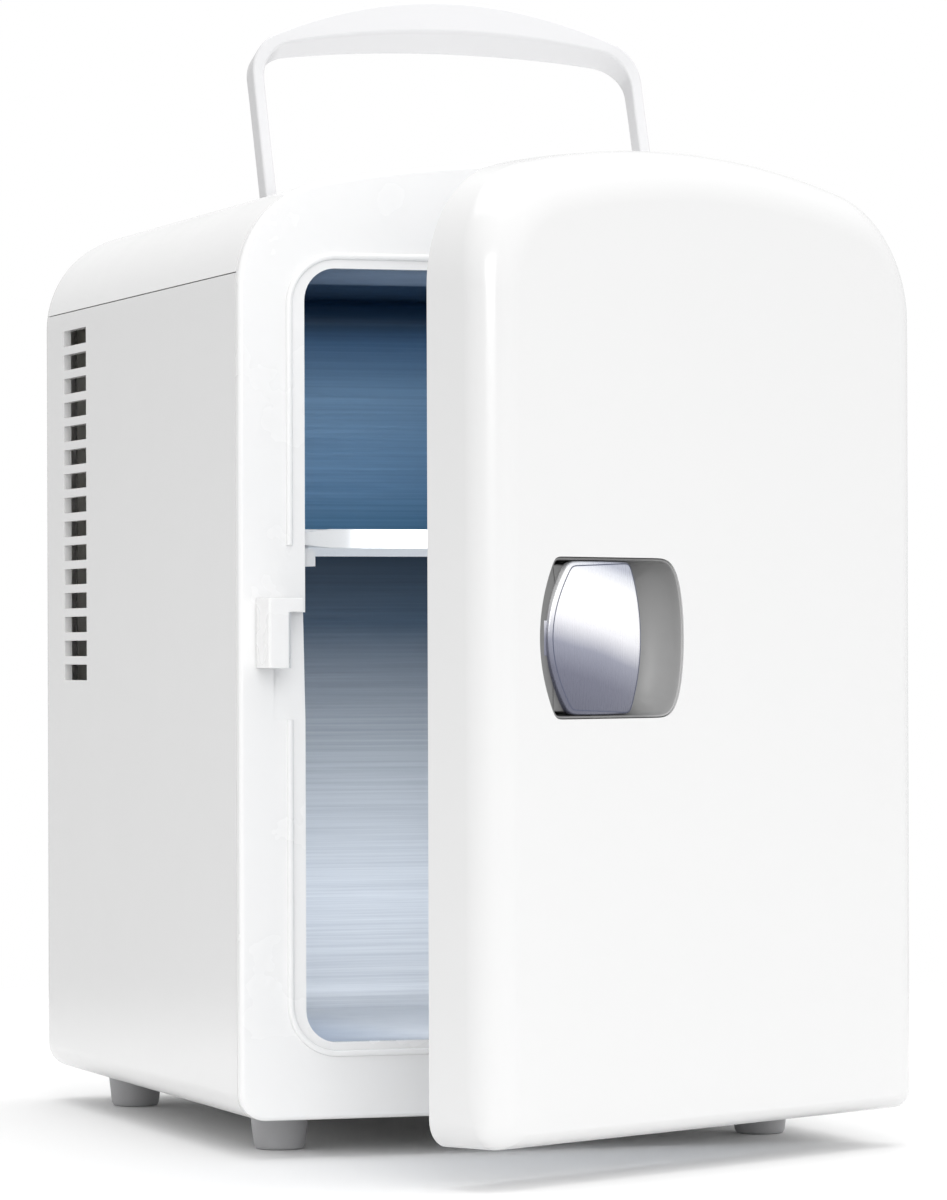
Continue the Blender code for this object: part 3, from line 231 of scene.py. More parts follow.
def brushed(name, colour, roughness=0.3, lines=(40.0, 40.0, 2600.0), metallic=1.0, depth=0.00001):
    """Metal brushed along one axis: the axes with small numbers run along the lines."""
    made = Finish(name, colour, roughness, metallic=metallic)
    grain = made.noise(1.0, 4.0, stretch=lines, rough=0.65)
    made.colour_by(made.mix(shade(colour, 0.82), shade(colour, 1.12), made.spread(grain, 0.0, 1.0)))
    made.rough_by(made.spread(grain, roughness * 0.75, roughness * 1.35))
    made.bump(grain, depth, 0.6)
    return made


def turned_metal(name, colour, roughness=0.28):
    """Small plated fasteners and pins: fine marks and dulled patches."""
    made = Finish(name, colour, roughness, metallic=1.0)
    patch = made.noise(220.0, 4.0)
    made.colour_by(made.mix(shade(colour, 0.75), shade(colour, 1.1), made.spread(patch, 0.0, 1.0)))
    made.rough_by(made.spread(patch, roughness * 0.8, roughness * 1.5))
    made.bump(made.noise(1.0, 2.0, stretch=(5000.0, 5000.0, 900.0)), 0.00001, 0.5)
    return made.material


WHITE = (0.82, 0.82, 0.82)
BODY = moulded("body_white", WHITE, 0.22)
# painted light: the top cover is a brighter copy of the body white, for the light falling on its top
TOP_LIT_WHITE = moulded("top_white_painted_light", (0.93, 0.93, 0.93), 0.22)
DOOR = moulded("door_white", (0.73, 0.73, 0.73), 0.2, coat=0.5)
FRAME = moulded("frame_white", (0.89, 0.89, 0.89), 0.26)
HANDLE = moulded("handle_white", (0.68, 0.68, 0.69), 0.3, coat=0.2)
INNER = moulded("inner_white", (0.8, 0.81, 0.82), 0.36, coat=0.1, specks=0.05)
FOOT = matt_moulded("foot_grey", (0.44, 0.44, 0.45), 0.55)
BLACK = matt_moulded("black_plastic", (0.02, 0.02, 0.022), 0.5)
SEAL = matt_moulded("seal_grey", (0.52, 0.53, 0.54), 0.6)
ZINC = turned_metal("zinc_plate", (0.6, 0.6, 0.58))
BRASS = turned_metal("contact_brass", (0.8, 0.6, 0.28), 0.22)
SINK = brushed("sink_aluminium", (0.72, 0.73, 0.74), 0.38, lines=(2600.0, 40.0, 40.0)).material


def lining():
    """Brushed aluminium of the compartment: lines across, with painted light and shade in cool blue tones,
    darker under the top and the shelf.
    """
    made = brushed("lining_brushed_painted_light_and_shade", (0.4, 0.5, 0.6), 0.38, lines=(14.0, 14.0, 1500.0), metallic=0.12)
    level = made.math("MULTIPLY", made.axis("Z"), 1000.0)
    # painted light and shade above the shelf: dark just above it, blue in the middle, dark navy under the top
    upper = made.ramp(made.spread(level, 0.0, 1.0, 164.0, 231.5), [
        (0.0, (0.07, 0.21, 0.36)), (0.25, (0.17, 0.34, 0.54)), (0.6, (0.24, 0.42, 0.62)),
        (0.84, (0.09, 0.2, 0.36)), (0.93, (0.008, 0.04, 0.09)), (1.0, (0.003, 0.018, 0.05))])
    # painted light and shade below the shelf: pale near the floor, dark under the shelf
    lower = made.ramp(made.spread(level, 0.0, 1.0, 28.0, 160.0), [
        (0.0, (0.86, 0.88, 0.9)), (0.25, (0.84, 0.87, 0.9)), (0.6, (0.38, 0.41, 0.44)),
        (0.85, (0.05, 0.085, 0.13)), (1.0, (0.018, 0.038, 0.065))])
    tone = made.mix(lower, upper, made.math("GREATER_THAN", level, BASE + SHELF_TOP - 2.0))
    # painted shade: a darker blue over the left part of the compartment
    across = made.spread(made.axis("X"), 0.7, 0.0, ORIGIN.x - 0.07, ORIGIN.x - 0.03)
    tone = made.mix(tone, made.mix(tone, (0.3, 0.42, 0.6), 1.0, "MULTIPLY"), across)
    # painted light: the front part of the ceiling turns a lighter grey, leaving the painted dark band at the
    # back
    ceiling_front_painted_light = made.math("MULTIPLY", made.math("GREATER_THAN", level, BASE + OPENING_HIGH - 2.5),
                        made.spread(made.axis("Y"), 1.0, 0.0, ORIGIN.y + 0.058, ORIGIN.y + 0.064))
    tone = made.mix(tone, (0.2, 0.25, 0.32), ceiling_front_painted_light)
    grain = made.noise(1.0, 5.0, stretch=(9.0, 9.0, 1300.0), rough=0.7)
    tone = made.mix(tone, made.mix(tone, (0.75, 0.76, 0.78), 1.0, "MULTIPLY"), made.spread(grain, 0.0, 1.0))
    made.set(made.shader, "Specular IOR Level", 0.2)
    made.colour_by(tone)
    return made.material


def satin_painted_reflection():
    """The latch's satin plating with a fine upright grain; its colour is a painted reflection, bright above,
    cooling to blue-grey below.
    """
    made = Finish("latch_satin_painted_reflection", (0.8, 0.8, 0.83), 0.3, metallic=0.35, coat=0.3, coat_roughness=0.15)
    # painted reflection: a height ramp, tilted across the plate and waved by noise
    level = made.spread(made.math("MULTIPLY", made.axis("Z"), 1000.0), 0.0, 1.0,
                        BASE + LATCH_Z - LEVER_HALF, BASE + LATCH_Z + LEVER_HALF)
    lean = 5.5  # share of the height by which the bright area rises per metre across
    reflection_slope = made.math("MULTIPLY", made.along((1.0, 0.5, 0.0)), lean)
    reflection_slant = made.math("SUBTRACT", reflection_slope, lean * (LEVER_AT.x + 0.5 * LEVER_AT.y))
    reflection_wave = made.math("MULTIPLY", made.math("SUBTRACT", made.noise(40.0, 1.0), 0.5), 0.06)
    tone = made.ramp(made.math("ADD", made.math("ADD", level, reflection_wave), reflection_slant), [
        (0.0, (0.12, 0.125, 0.17)), (0.2, (0.15, 0.155, 0.21)), (0.38, (0.28, 0.29, 0.36)),
        (0.54, (0.82, 0.82, 0.86)), (0.64, (0.97, 0.97, 0.98)), (0.86, (0.97, 0.97, 0.98)),
        (0.95, (0.7, 0.72, 0.78)), (1.0, (0.45, 0.47, 0.55))])
    made.colour_by(tone)
    grain = made.noise(1.0, 3.0, stretch=(3000.0, 3000.0, 60.0))
    made.rough_by(made.spread(grain, 0.24, 0.36))
    made.bump(grain, 0.000001, 0.1)
    return made.material


def scoop_painted_shade():
    """The latch recess: satin grey with painted shade, darker beside the lever and under the upper lip."""
    made = Finish("cup_grey", (0.3, 0.3, 0.3), 0.38)
    lean = math.radians(DOOR_OPEN)
    hinge = AJAR @ Vector((HINGE_X, HINGE_Y, 0.0))
    along = made.math("SUBTRACT", made.along((math.cos(lean), math.sin(lean), 0.0)),
                      hinge.x * math.cos(lean) + hinge.y * math.sin(lean) - HINGE_X * MM)
    # painted shade: darker next to the lever and under the upper lip, lighter towards the recess's right end
    right = made.spread(along, 0.0, 1.0, LEVER_RIGHT[0] * MM, (CUP_RIGHT[1] + 1.0) * MM)
    high = made.spread(made.axis("Z"), 0.0, 0.45, (BASE + LATCH_Z - CUP_HALF) * MM,
                       (BASE + LATCH_Z + CUP_HALF) * MM)
    level = made.math("SUBTRACT", right, high)
    tone = made.ramp(made.spread(level, 0.0, 1.0, -0.45, 1.0), [
        (0.0, (0.13, 0.13, 0.13)), (0.4, (0.2, 0.2, 0.2)),
        (0.75, (0.36, 0.36, 0.36)), (1.0, (0.5, 0.5, 0.5))])
    made.colour_by(made.mix(tone, (0.3, 0.3, 0.3), made.spread(made.noise(300.0), 0.0, 0.08)))
    made.rough_by(made.spread(made.noise(500.0, 2.0), 0.33, 0.45))
    made.bump(made.cells(2500.0), 0.00002, 0.4)
    return made.material


def cellular(name, colour):
    """Rigid foam: small closed cells."""
    made = Finish(name, colour, 0.85)
    cells = made.cells(900.0)
    made.colour_by(made.mix(shade(colour, 0.78), shade(colour, 1.05), made.spread(cells, 0.0, 1.0, 0.0, 0.6)))
    made.bump(cells, 0.0003, 0.6)
    return made.material


def circuit():
    """Green board with lighter tracks."""
    made = Finish("board_green", (0.03, 0.2, 0.08), 0.4, coat=0.4)
    track = made.tree.nodes.new("ShaderNodeTexBrick")
    made.join(made.place, track, "Vector")
    for socket, value in (("Scale", 120.0), ("Mortar Size", 0.03),
                          ("Brick Width", 0.9), ("Row Height", 0.35)):
        made.set(track, socket, value)
    made.set(track, "Color1", (0.02, 0.16, 0.06, 1.0))
    made.set(track, "Color2", (0.03, 0.2, 0.08, 1.0))
    made.set(track, "Mortar", (0.1, 0.38, 0.16, 1.0))
    made.colour_by(track.outputs["Color"])
    made.rough_by(made.spread(made.noise(90.0), 0.3, 0.55))
    made.bump(track.outputs["Fac"], 0.00005, 0.5)
    return made.material


LINING_PAINTED_LIGHT_AND_SHADE = lining()
SATIN_PAINTED_REFLECTION = satin_painted_reflection()
CUP = scoop_painted_shade()
# painted shade: dark grey for the band beside the lever
SHADE_BAND = matt_moulded("shade_band_grey", (0.18, 0.18, 0.18), 0.45)
TRIM = matt_moulded("latch_line", (0.07, 0.08, 0.13), 0.4)
FOAM = cellular("rigid_foam", (0.8, 0.74, 0.58))
CERAMIC = matt_moulded("module_ceramic", (0.82, 0.82, 0.78), 0.6, grain=0.00002)
BOARD = circuit()

# ---------------------------------------------------------------- outlines


def arc(cx, cz, radius, start, stop, count):
    points = []
    for i in range(count + 1):
        angle = math.radians(start + (stop - start) * i / count)
        points.append((cx + radius * math.cos(angle), cz + radius * math.sin(angle)))
    return points


def line(start, stop, count):
    """Points between two ends, leaving both ends out."""
    return [(start[0] + (stop[0] - start[0]) * i / count, start[1] + (stop[1] - start[1]) * i / count)
            for i in range(1, count)]


def arched(inset, half=HALF, low=0.0, high=HEIGHT, radius=TOP_RADIUS, corner=TOP_CORNER,
           foot=BOTTOM_CORNER, detail=(40, 20, 8), sides=12):
    """Outline (x, z) of a box with an arched top, moved inwards by inset."""
    half, low, high, radius = half - inset, low + inset, high - inset, radius - inset
    corner = max(corner - inset, 1.0)
    foot = max(foot - inset, 1.0)
    side = half - corner
    middle = high - radius + math.sqrt((radius - corner) ** 2 - side**2)
    lean = math.degrees(math.asin(side / (radius - corner)))
    across, turn, low_turn = detail
    points = arc(half - foot, low + foot, foot, -90, 0, low_turn)
    points += line((half, low + foot), (half, middle), sides)
    points += arc(side, middle, corner, 0, 90 - lean, turn)
    points += arc(0, high - radius, radius, 90 - lean, 90 + lean, across)[1:-1]
    points += arc(-side, middle, corner, 90 + lean, 180, turn)
    points += line((-half, middle), (-half, low + foot), sides)
    points += arc(-half + foot, low + foot, foot, 180, 270, low_turn)
    return [(x, BASE + z) for x, z in points]


def rounded(half, low, high, corner, steps=10):
    points = arc(half - corner, low + corner, corner, -90, 0, steps)
    points += arc(half - corner, high - corner, corner, 0, 90, steps)
    points += arc(-half + corner, high - corner, corner, 90, 180, steps)
    points += arc(-half + corner, low + corner, corner, 180, 270, steps)
    return [(x, BASE + z) for x, z in points]


def opening(grow=0.0):
    return rounded(OPENING_HALF + grow, OPENING_LOW - grow, OPENING_HIGH + grow, OPENING_CORNER + grow)


def barrel(left, right, half, steps=40, power=1.0):
    """Outline (x, z) with straight top and bottom and bowed sides."""
    points = []
    levels = [half * math.cos(math.pi * i / steps) for i in range(steps + 1)]
    for z in reversed(levels):
        points.append((right[0] + (right[1] - right[0]) * max(0.0, 1 - (z / half) ** 2) ** power, z))
    points += line(points[-1], (left[0], half), 12)
    for z in levels:
        points.append((left[0] + (left[1] - left[0]) * (1 - (z / half) ** 2), z))
    points += line(points[-1], (right[0], -half), 12)
    return [(x, BASE + LATCH_Z + z) for x, z in points]


def evened(outline, count):
    """The same closed outline with evenly spaced points."""
    ends = outline + outline[:1]
    runs = [math.dist(a, b) for a, b in zip(ends, ends[1:])]
    total = sum(runs)
    made, i, passed = [], 0, 0.0
    for step in range(count):
        want = total * step / count
        while passed + runs[i] < want:
            passed += runs[i]
            i += 1
        share = (want - passed) / runs[i]
        made.append(tuple(a + (b - a) * share for a, b in zip(ends[i], ends[i + 1])))
    return made


def relaxed(outline, passes):
    """Rounds the corners of an evenly spaced closed outline."""
    for _ in range(passes):
        outline = [tuple(0.25 * a + 0.5 * b + 0.25 * c for a, b, c in zip(
            outline[i - 1], outline[i], outline[(i + 1) % len(outline)])) for i in range(len(outline))]
    return outline


def grown(outline, amount):
    """The same closed outline moved outwards by amount, a number or one for each point."""
    made = []
    count = len(outline)
    for i, (x, z) in enumerate(outline):
        before, after = outline[i - 1], outline[(i + 1) % count]
        run = Vector((after[0] - before[0], after[1] - before[1])).normalized()
        push = amount[i] if isinstance(amount, list) else amount
        made.append((x + run.y * push, z - run.x * push))
    return made


def at(outline, y):
    return [(x, y, z) for x, z in outline]


# ---------------------------------------------------------------- mesh building


def add_loft(mesh, rings, around=False, caps=True):
    rows = [[mesh.verts.new(point) for point in ring] for ring in rings]
    count = len(rows[0])
    pairs = list(zip(rows, rows[1:]))
    if around:
        pairs.append((rows[-1], rows[0]))
    for first, second in pairs:
        for i in range(count):
            j = (i + 1) % count
            mesh.faces.new((first[i], first[j], second[j], second[i]))
    if caps and not around:
        mesh.faces.new(list(reversed(rows[0])))
        mesh.faces.new(rows[-1])


def solid(name, mesh, place=IN_PLACE):
    """An object from a bmesh in millimetres, put in place in the row frame."""
    bmesh.ops.recalc_face_normals(mesh, faces=mesh.faces)
    if mesh.calc_volume(signed=True) < 0:
        bmesh.ops.reverse_faces(mesh, faces=mesh.faces)
    mesh.transform(place)
    data = bpy.data.meshes.new(name)
    mesh.to_mesh(data)
    mesh.free()
    made = bpy.data.objects.new(name, data)
    bpy.context.scene.collection.objects.link(made)
    return made


def loft(name, rings, place=IN_PLACE, around=False):
    mesh = bmesh.new()
    add_loft(mesh, rings, around)
    return solid(name, mesh, place)


def boxes(name, corners, place=IN_PLACE):
    mesh = bmesh.new()
    for (x0, y0, z0), (x1, y1, z1) in corners:
        add_loft(mesh, [[(x0, y0, z), (x1, y0, z), (x1, y1, z), (x0, y1, z)] for z in (z0, z1)])
    return solid(name, mesh, place)


def circle(axis, centre, radius, along, count=48):
    points = []
    for i in range(count):
        angle = 2 * math.pi * i / count
        u, v = radius * math.cos(angle), radius * math.sin(angle)
        points.append({"x": (along, centre[0] + u, centre[1] + v),
                       "y": (centre[0] + u, along, centre[1] + v),
                       "z": (centre[0] + u, centre[1] + v, along)}[axis])
    return points


def turned_rings(axis, centre, profile, count=48):
    return [circle(axis, centre, radius, along, count) for radius, along in profile]


def settle(made):
    """Replaces an object's mesh by its evaluated one."""
    graph = bpy.context.evaluated_depsgraph_get()
    graph.update()
    shaped = bpy.data.meshes.new_from_object(made.evaluated_get(graph))
    made.modifiers.clear()
    made.data = shaped


def combine(target, tool, operation="DIFFERENCE", crossing=False):
    step = target.modifiers.new(tool.name, "BOOLEAN")
    step.operation, step.solver, step.object, step.use_self = operation, "EXACT", tool, crossing
    settle(target)
    bpy.data.objects.remove(tool, do_unlink=True)


def soften(made, width, segments=3, limit=50.0):
    """Rounds the sharp edges and steadies the shading of the flats."""
    if width:
        step = made.modifiers.new("edge", "BEVEL")
        step.width, step.segments = width * MM, segments
        step.limit_method, step.angle_limit = "ANGLE", math.radians(limit)
        step.miter_outer = "MITER_ARC"
        step.use_clamp_overlap = True
        settle(made)
    made.data.shade_smooth()
    made.data.set_sharp_from_angle(angle=math.radians(38))
    step = made.modifiers.new("normals", "WEIGHTED_NORMAL")
    step.keep_sharp, step.weight = True, 60


def dress(made, body, finish, slot, *nodes):
    made.data.materials.clear()
    made.data.materials.append(finish)
    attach(made, body)
    if nodes:
        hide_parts(*nodes)
    return made


# ---------------------------------------------------------------- shells
ROUND_STEPS = 12


def shell_profile(front, back, rounding, wall):
    pairs = [(0.0, front), (0.0, (front + back - rounding) / 2)]
    turns = [math.pi / 2 * i / ROUND_STEPS for i in range(ROUND_STEPS + 1)]
    for angle in turns:
        pairs.append((rounding * (1 - math.cos(angle)), back - rounding + rounding * math.sin(angle)))
    inner = rounding - wall
    for angle in reversed(turns):
        pairs.append((rounding - inner * math.cos(angle), back - rounding + inner * math.sin(angle)))
    pairs.append((wall, front))
    return pairs


def shell_half(name, low, high):
    front = FRAME_RIM + GAP
    rings = [at(arched(inset), y) for inset, y in shell_profile(front, DEPTH, REAR_ROUND, WALL)]
    made = loft(name, rings, around=True)
    keep = boxes(f"{name}_extent", [((-HALF - 5, -5, BASE + low), (HALF + 5, DEPTH + 5, BASE + high))])
    combine(made, keep, "INTERSECT")
    return made


lower = shell_half("shell_lower", -5, PARTING - GAP / 2)
pitch = (VENT_HIGH - VENT_LOW - VENT_SLOT) / (VENT_COUNT - 1)
slots = []
for side in (-1, 1):
    for i in range(VENT_COUNT):
        z = BASE + VENT_LOW + i * pitch
        x0, x1 = sorted((side * (HALF - WALL - 1), side * (HALF + 1)))
        slots.append(((x0, VENT_FROM, z), (x1, VENT_TO, z + VENT_SLOT)))
combine(lower, boxes("vents", slots))
feet_at = [(side * FOOT_X, y) for y in (FOOT_FRONT, FOOT_REAR) for side in (-1, 1)]
spigots = bmesh.new()
for spot in feet_at:
    add_loft(spigots, turned_rings("z", spot, [(3.3, BASE - 2), (3.3, BASE + WALL + 2)], 32))
combine(lower, solid("spigot_holes", spigots))
soften(lower, 0.35, 2)
dress(lower, "cabinet", BODY, "shell", "lower_shell")

upper = shell_half("shell_upper", PARTING + GAP / 2, HEIGHT + 5)
leg_x = HANDLE_HALF - HANDLE_LEG / 2


def crown_z(x):
    return BASE + HEIGHT - TOP_RADIUS + math.sqrt(TOP_RADIUS**2 - x**2)


wells, rooms, bores = bmesh.new(), [], bmesh.new()
for side in (-1, 1):
    x0, x1 = side * leg_x - WELL[0] / 2, side * leg_x + WELL[0] / 2
    y0, y1 = HANDLE_AXIS_Y - WELL[1], HANDLE_AXIS_Y + WELL[2]
    low = BASE + HANDLE_AXIS_Z - WELL[3] + 6.0
    around = [(x0 - 1.6, y0 - 1.6), (x1 + 1.6, y0 - 1.6), (x1 + 1.6, y1 + 1.6), (x0 - 1.6, y1 + 1.6)]
    add_loft(wells, [[(x, y, low - 1.6) for x, y in around],
                     [(x, y, crown_z(x) - WALL / 2) for x, y in around]])
    rooms.append(((x0, y0, low), (x1, y1, BASE + HEIGHT + 5)))
    add_loft(bores, turned_rings("x", (HANDLE_AXIS_Y, BASE + HANDLE_AXIS_Z), [
        (TRUNNION_R + HINGE_RUN, x0 - 3.0), (TRUNNION_R + HINGE_RUN, x1 + 3.0)], 32))
combine(upper, solid("well_walls", wells), "UNION")
combine(upper, boxes("well_rooms", rooms))
combine(upper, solid("trunnion_holes", bores))
soften(upper, 0.35, 2)
dress(upper, "cabinet", TOP_LIT_WHITE, "shell", "top_cover")

# ---------------------------------------------------------------- feet
for name, spot in zip(("front_left", "front_right", "rear_left", "rear_right"), feet_at):
    profile = [(FOOT_TIP_R - 1.4, 0.0), (FOOT_TIP_R - 0.5, 0.2), (FOOT_TIP_R, 1.1), (FOOT_TIP_R + 0.45, 5.0),
               (FOOT_TOP_R - 0.05, BASE - 1.4), (FOOT_TOP_R, BASE - 0.9), (FOOT_TOP_R - 0.3, BASE - GAP),
               (3.0, BASE - GAP), (3.0, BASE + WALL + 0.8)]
    foot = loft(f"foot_pad_{name}", turned_rings("z", spot, profile))
    soften(foot, 0.0)
    dress(foot, "cabinet", FOOT, "feet", f"foot_{name}")

# ---------------------------------------------------------------- front frame


def swept(path, section):
    rings = []
    for i, here in enumerate(path):
        before, after = path[max(i - 1, 0)], path[min(i + 1, len(path) - 1)]
        run = Vector((after[0] - before[0], after[1] - before[1])).normalized()
        out = Vector((run.y, -run.x))
        rings.append([(here[0] + out.x * w, y, here[1] + out.y * w) for w, y in section])
    return rings


def broken_ring(half, low, high, corner, low_stop, high_stop, steps=14):
    points = arc(-half + corner, low + corner, corner, 180, 270, steps)
    points += arc(half - corner, low + corner, corner, -90, 0, steps)
    points += arc(half - corner, high - corner, corner, 0, 90, steps)
    points += arc(-half + corner, high - corner, corner, 90, 180, steps)
    points = [(-half, low_stop)] + points + [(-half, high_stop)]
    return [(x, BASE + z) for x, z in points]


edge = [(FRAME_EDGE * (1 - math.sin(a)), FRAME_EDGE * (1 - math.cos(a)))
        for a in (math.pi / 2 * i / 6 for i in range(7))]
rings = [at(arched(inset), y) for inset, y in edge]
rings += [at(arched(inset), y) for inset, y in (
    (0.0, FRAME_RIM - 0.35), (0.35, FRAME_RIM), (WALL + 0.5, FRAME_RIM), (WALL + 0.5, FRAME_FLANGE))]
front = loft("frame_front", rings)
pocket = WALL + 0.5 + 1.9
combine(front, loft("frame_pocket", [at(arched(pocket), y) for y in (3.0, FRAME_FLANGE + 2)]))
combine(front, loft("frame_hole", [at(opening(), y) for y in (-3.0, 6.0)]))
notch_low, notch_high = BASE + BEAD_GAP[0], BASE + CATCH_Z[1] - CATCH_ROOF
notch = bmesh.new()
add_loft(notch, [[(x, -0.5, notch_low), (x, 0.02, notch_low), (x, 2.0, notch_high), (x, -0.5, notch_high)]
                 for x in (CATCH_X[1], -OPENING_HALF + 1.0)])
combine(front, solid("frame_notch", notch))
TAB = ((-82.6, -79.8), (121.5, 132.0))
combine(front, boxes("frame_tab_slot", [((TAB[0][0] - GAP, -1.0, BASE + TAB[1][0] - GAP),
                                         (TAB[0][1] + GAP, 5.0, BASE + TAB[1][1] + GAP))]))
soften(front, 0.45, 3, 60)
dress(front, "cabinet", FRAME, "frame", "front_frame")

half_bead = BEAD_WIDTH / 2
section = [(-half_bead, -0.02)]
for i in range(9):
    angle = math.pi * i / 8
    section.append((-half_bead * math.cos(angle), -0.25 - (BEAD_PROUD - 0.25) * math.sin(angle) ** 0.7))
section.append((half_bead, -0.02))
bead = loft("frame_bead", swept(broken_ring(BEAD_HALF, OPENING_LOW - 2.9, OPENING_HIGH + 3.2, BEAD_CORNER,
                                            *BEAD_GAP), section))
soften(bead, 0.0)
dress(bead, "cabinet", FRAME, "frame")

# ---------------------------------------------------------------- catch
barb = CATCH_X[1] + CATCH_BARB
plan = [(CATCH_X[0], -GAP), (CATCH_X[0], -CATCH_PROUD + 0.6), (CATCH_X[0] + 0.6, -CATCH_PROUD),
        (barb - 1.0, -CATCH_PROUD), (barb, -CATCH_PROUD + 1.2), (barb, -CATCH_PROUD + 2.8),
        (CATCH_X[1], -CATCH_PROUD + 2.8), (CATCH_X[1], -GAP)]
catch = loft("catch_block", [[(x, y, BASE + z) for x, y in plan] for z in CATCH_Z])
combine(catch, boxes("catch_roof", [
    ((CATCH_X[1] - 1.0, -CATCH_PROUD, BASE + CATCH_Z[1] - CATCH_ROOF), (-74.4, -GAP, BASE + CATCH_Z[1])),
    ((TAB[0][0], -1.0, BASE + TAB[1][0]), (TAB[0][1], 3.6, BASE + TAB[1][1]))]), "UNION")
soften(catch, 0.4, 3)
dress(catch, "cabinet", FRAME, "frame", "latch_catch")

# ---------------------------------------------------------------- lining and shelf


def tub_rings(grow, front_y, back_y, rounding, steps=9):
    rings = [at(opening(grow), front_y)]
    for i in range(steps + 1):
        angle = math.pi / 2 * i / steps
        inset = rounding * (1 - math.cos(angle))
        outline = rounded(OPENING_HALF + grow - inset, OPENING_LOW - grow + inset,
                          OPENING_HIGH + grow - inset, max(OPENING_CORNER + grow - inset, 1.0))
        rings.append(at(outline, back_y - rounding + rounding * math.sin(angle)))
    return rings


inner = tub_rings(0.0, FRAME_RIM, CAVITY_DEPTH - LINER, TUB_ROUND)
outer = tub_rings(LINER, FRAME_RIM + LINER, CAVITY_DEPTH, TUB_ROUND + LINER)
flange = [at(opening(4.5), y) for y in (FRAME_RIM, FRAME_RIM + LINER)]
tub = loft("lining_tub", inner[::-1] + flange + outer)
soften(tub, 0.0)
dress(tub, "cabinet", LINING_PAINTED_LIGHT_AND_SHADE, "lining", "inner_liner")

shelf_low = BASE + SHELF_TOP - SHELF_THICK
shelf = boxes("shelf_tray", [((-OPENING_HALF + 0.8, FRAME_RIM + 0.6, shelf_low),
                              (OPENING_HALF - 0.8, SHELF_DEPTH, BASE + SHELF_TOP))])
shelf_top = BASE + SHELF_TOP
SHELF_WALL = 2.4
combine(shelf, boxes("shelf_under", [((-OPENING_HALF + SHELF_WALL + 0.8, FRAME_RIM + 3.0, shelf_low - 1),
                                      (OPENING_HALF - SHELF_WALL - 0.8, SHELF_DEPTH - SHELF_WALL,
                                       shelf_top - SHELF_WALL))]))
shelf_slots = []
for row in range(4):
    for column in range(5):
        x, y = (column - 2) * 25.0, 26.0 + row * 27.0
        shelf_slots.append(((x - 8, y - 2.2, shelf_low - 2), (x + 8, y + 2.2, shelf_low + 8)))
combine(shelf, boxes("shelf_slots", shelf_slots))
wedges = bmesh.new()
for side in (-1, 1):
    end, tip = side * (OPENING_HALF + 1), side * (OPENING_HALF - 8.5)
    for near, flat, far in ((shelf_top - 1.1, shelf_top + 1, shelf_top + 0.05),
                            (shelf_low + 1.0, shelf_low - 1, shelf_low - 0.05)):
        add_loft(wedges, [[(end, y, near), (end, y, flat), (tip, y, flat), (tip, y, far)]
                          for y in (FRAME_RIM - 1, FRAME_RIM + 4.5)])
combine(shelf, solid("shelf_wedges", wedges))
soften(shelf, 0.4, 3)
dress(shelf, "cabinet", INNER, "inner", "shelf")

# ---------------------------------------------------------------- door


def door_outline(blend, inset=0.0):
    outer_line = arched(inset, high=DOOR_TOP, radius=DOOR_TOP_RADIUS, corner=DOOR_TOP_CORNER, sides=40)
    flat = arched(0.0, HALF - DOOR_SIDE_ROUND - inset, DOOR_BOTTOM_ROUND + inset,
                  DOOR_TOP - DOOR_TOP_ROUND - inset, DOOR_TOP_RADIUS - DOOR_TOP_ROUND,
                  DOOR_TOP_CORNER - DOOR_SIDE_ROUND, 4.0, sides=40)
    return [(a + (b - a) * blend, c + (d - c) * blend) for (a, c), (b, d) in zip(outer_line, flat)]


def smooth(value):
    value = min(1.0, max(0.0, value))
    return value * value * (3 - 2 * value)


def door_depth(z):
    """How deep the front rounding is at a height."""
    level = (z - BASE) / DOOR_TOP
    size = DOOR_SIDE_ROUND + (DOOR_TOP_ROUND - DOOR_SIDE_ROUND) * smooth((level - 0.83) / 0.15)
    return size + (DOOR_BOTTOM_ROUND + 2.0 - size) * (1 - smooth(level / 0.06))


def door_skin(inset, back, steps):
    outer_line, flat = door_outline(0.0, inset), door_outline(1.0, inset)
    face = FRONT_DOOR + inset
    heel = HALF - DOOR_HEEL
    rings = [[(min(x, heel), back, z) for x, z in outer_line], at(outer_line, back - DOOR_HEEL)]
    for i in range(steps + 1):
        angle = math.pi / 2 * i / steps
        ring = []
        for (ox, oz), (fx, fz) in zip(outer_line, flat):
            blend = 1 - math.cos(angle)
            ring.append((ox + (fx - ox) * blend, face + door_depth(oz) * (1 - math.sin(angle)),
                         oz + (fz - oz) * blend))
        rings.append(ring)
    return rings


door = loft("door_shell_skin", door_skin(DOOR_WALL, DOOR_BACK, 8)[::-1] + door_skin(0.0, DOOR_BACK, 20), AJAR)
cup_edge = relaxed(evened(barrel(CUP_LEFT, CUP_RIGHT, CUP_HALF, power=0.26), 280), 8)
combine(door, loft("cup_window", [at(cup_edge, y) for y in (FRONT_DOOR - 2, FRONT_DOOR + 6)], AJAR))
POST = 5.2
windows, posts = [], []
for z in HINGE_LUGS:
    low, high = BASE + z - HINGE_LUG_HEIGHT / 2 - 0.8, BASE + z + HINGE_LUG_HEIGHT / 2 + 0.8
    windows.append(((HINGE_X - HINGE_LUG_R - 0.8, HINGE_Y - HINGE_LUG_R - 0.8, low), (HALF + 2, 2.0, high)))
    posts.append(((HINGE_X - POST, HINGE_Y - POST, low - 11), (HALF - 1.6, DOOR_BACK - 0.6, high + 11)))
combine(door, boxes("hinge_posts", posts, AJAR), "UNION")
combine(door, boxes("hinge_windows", windows, AJAR))
bores = bmesh.new()
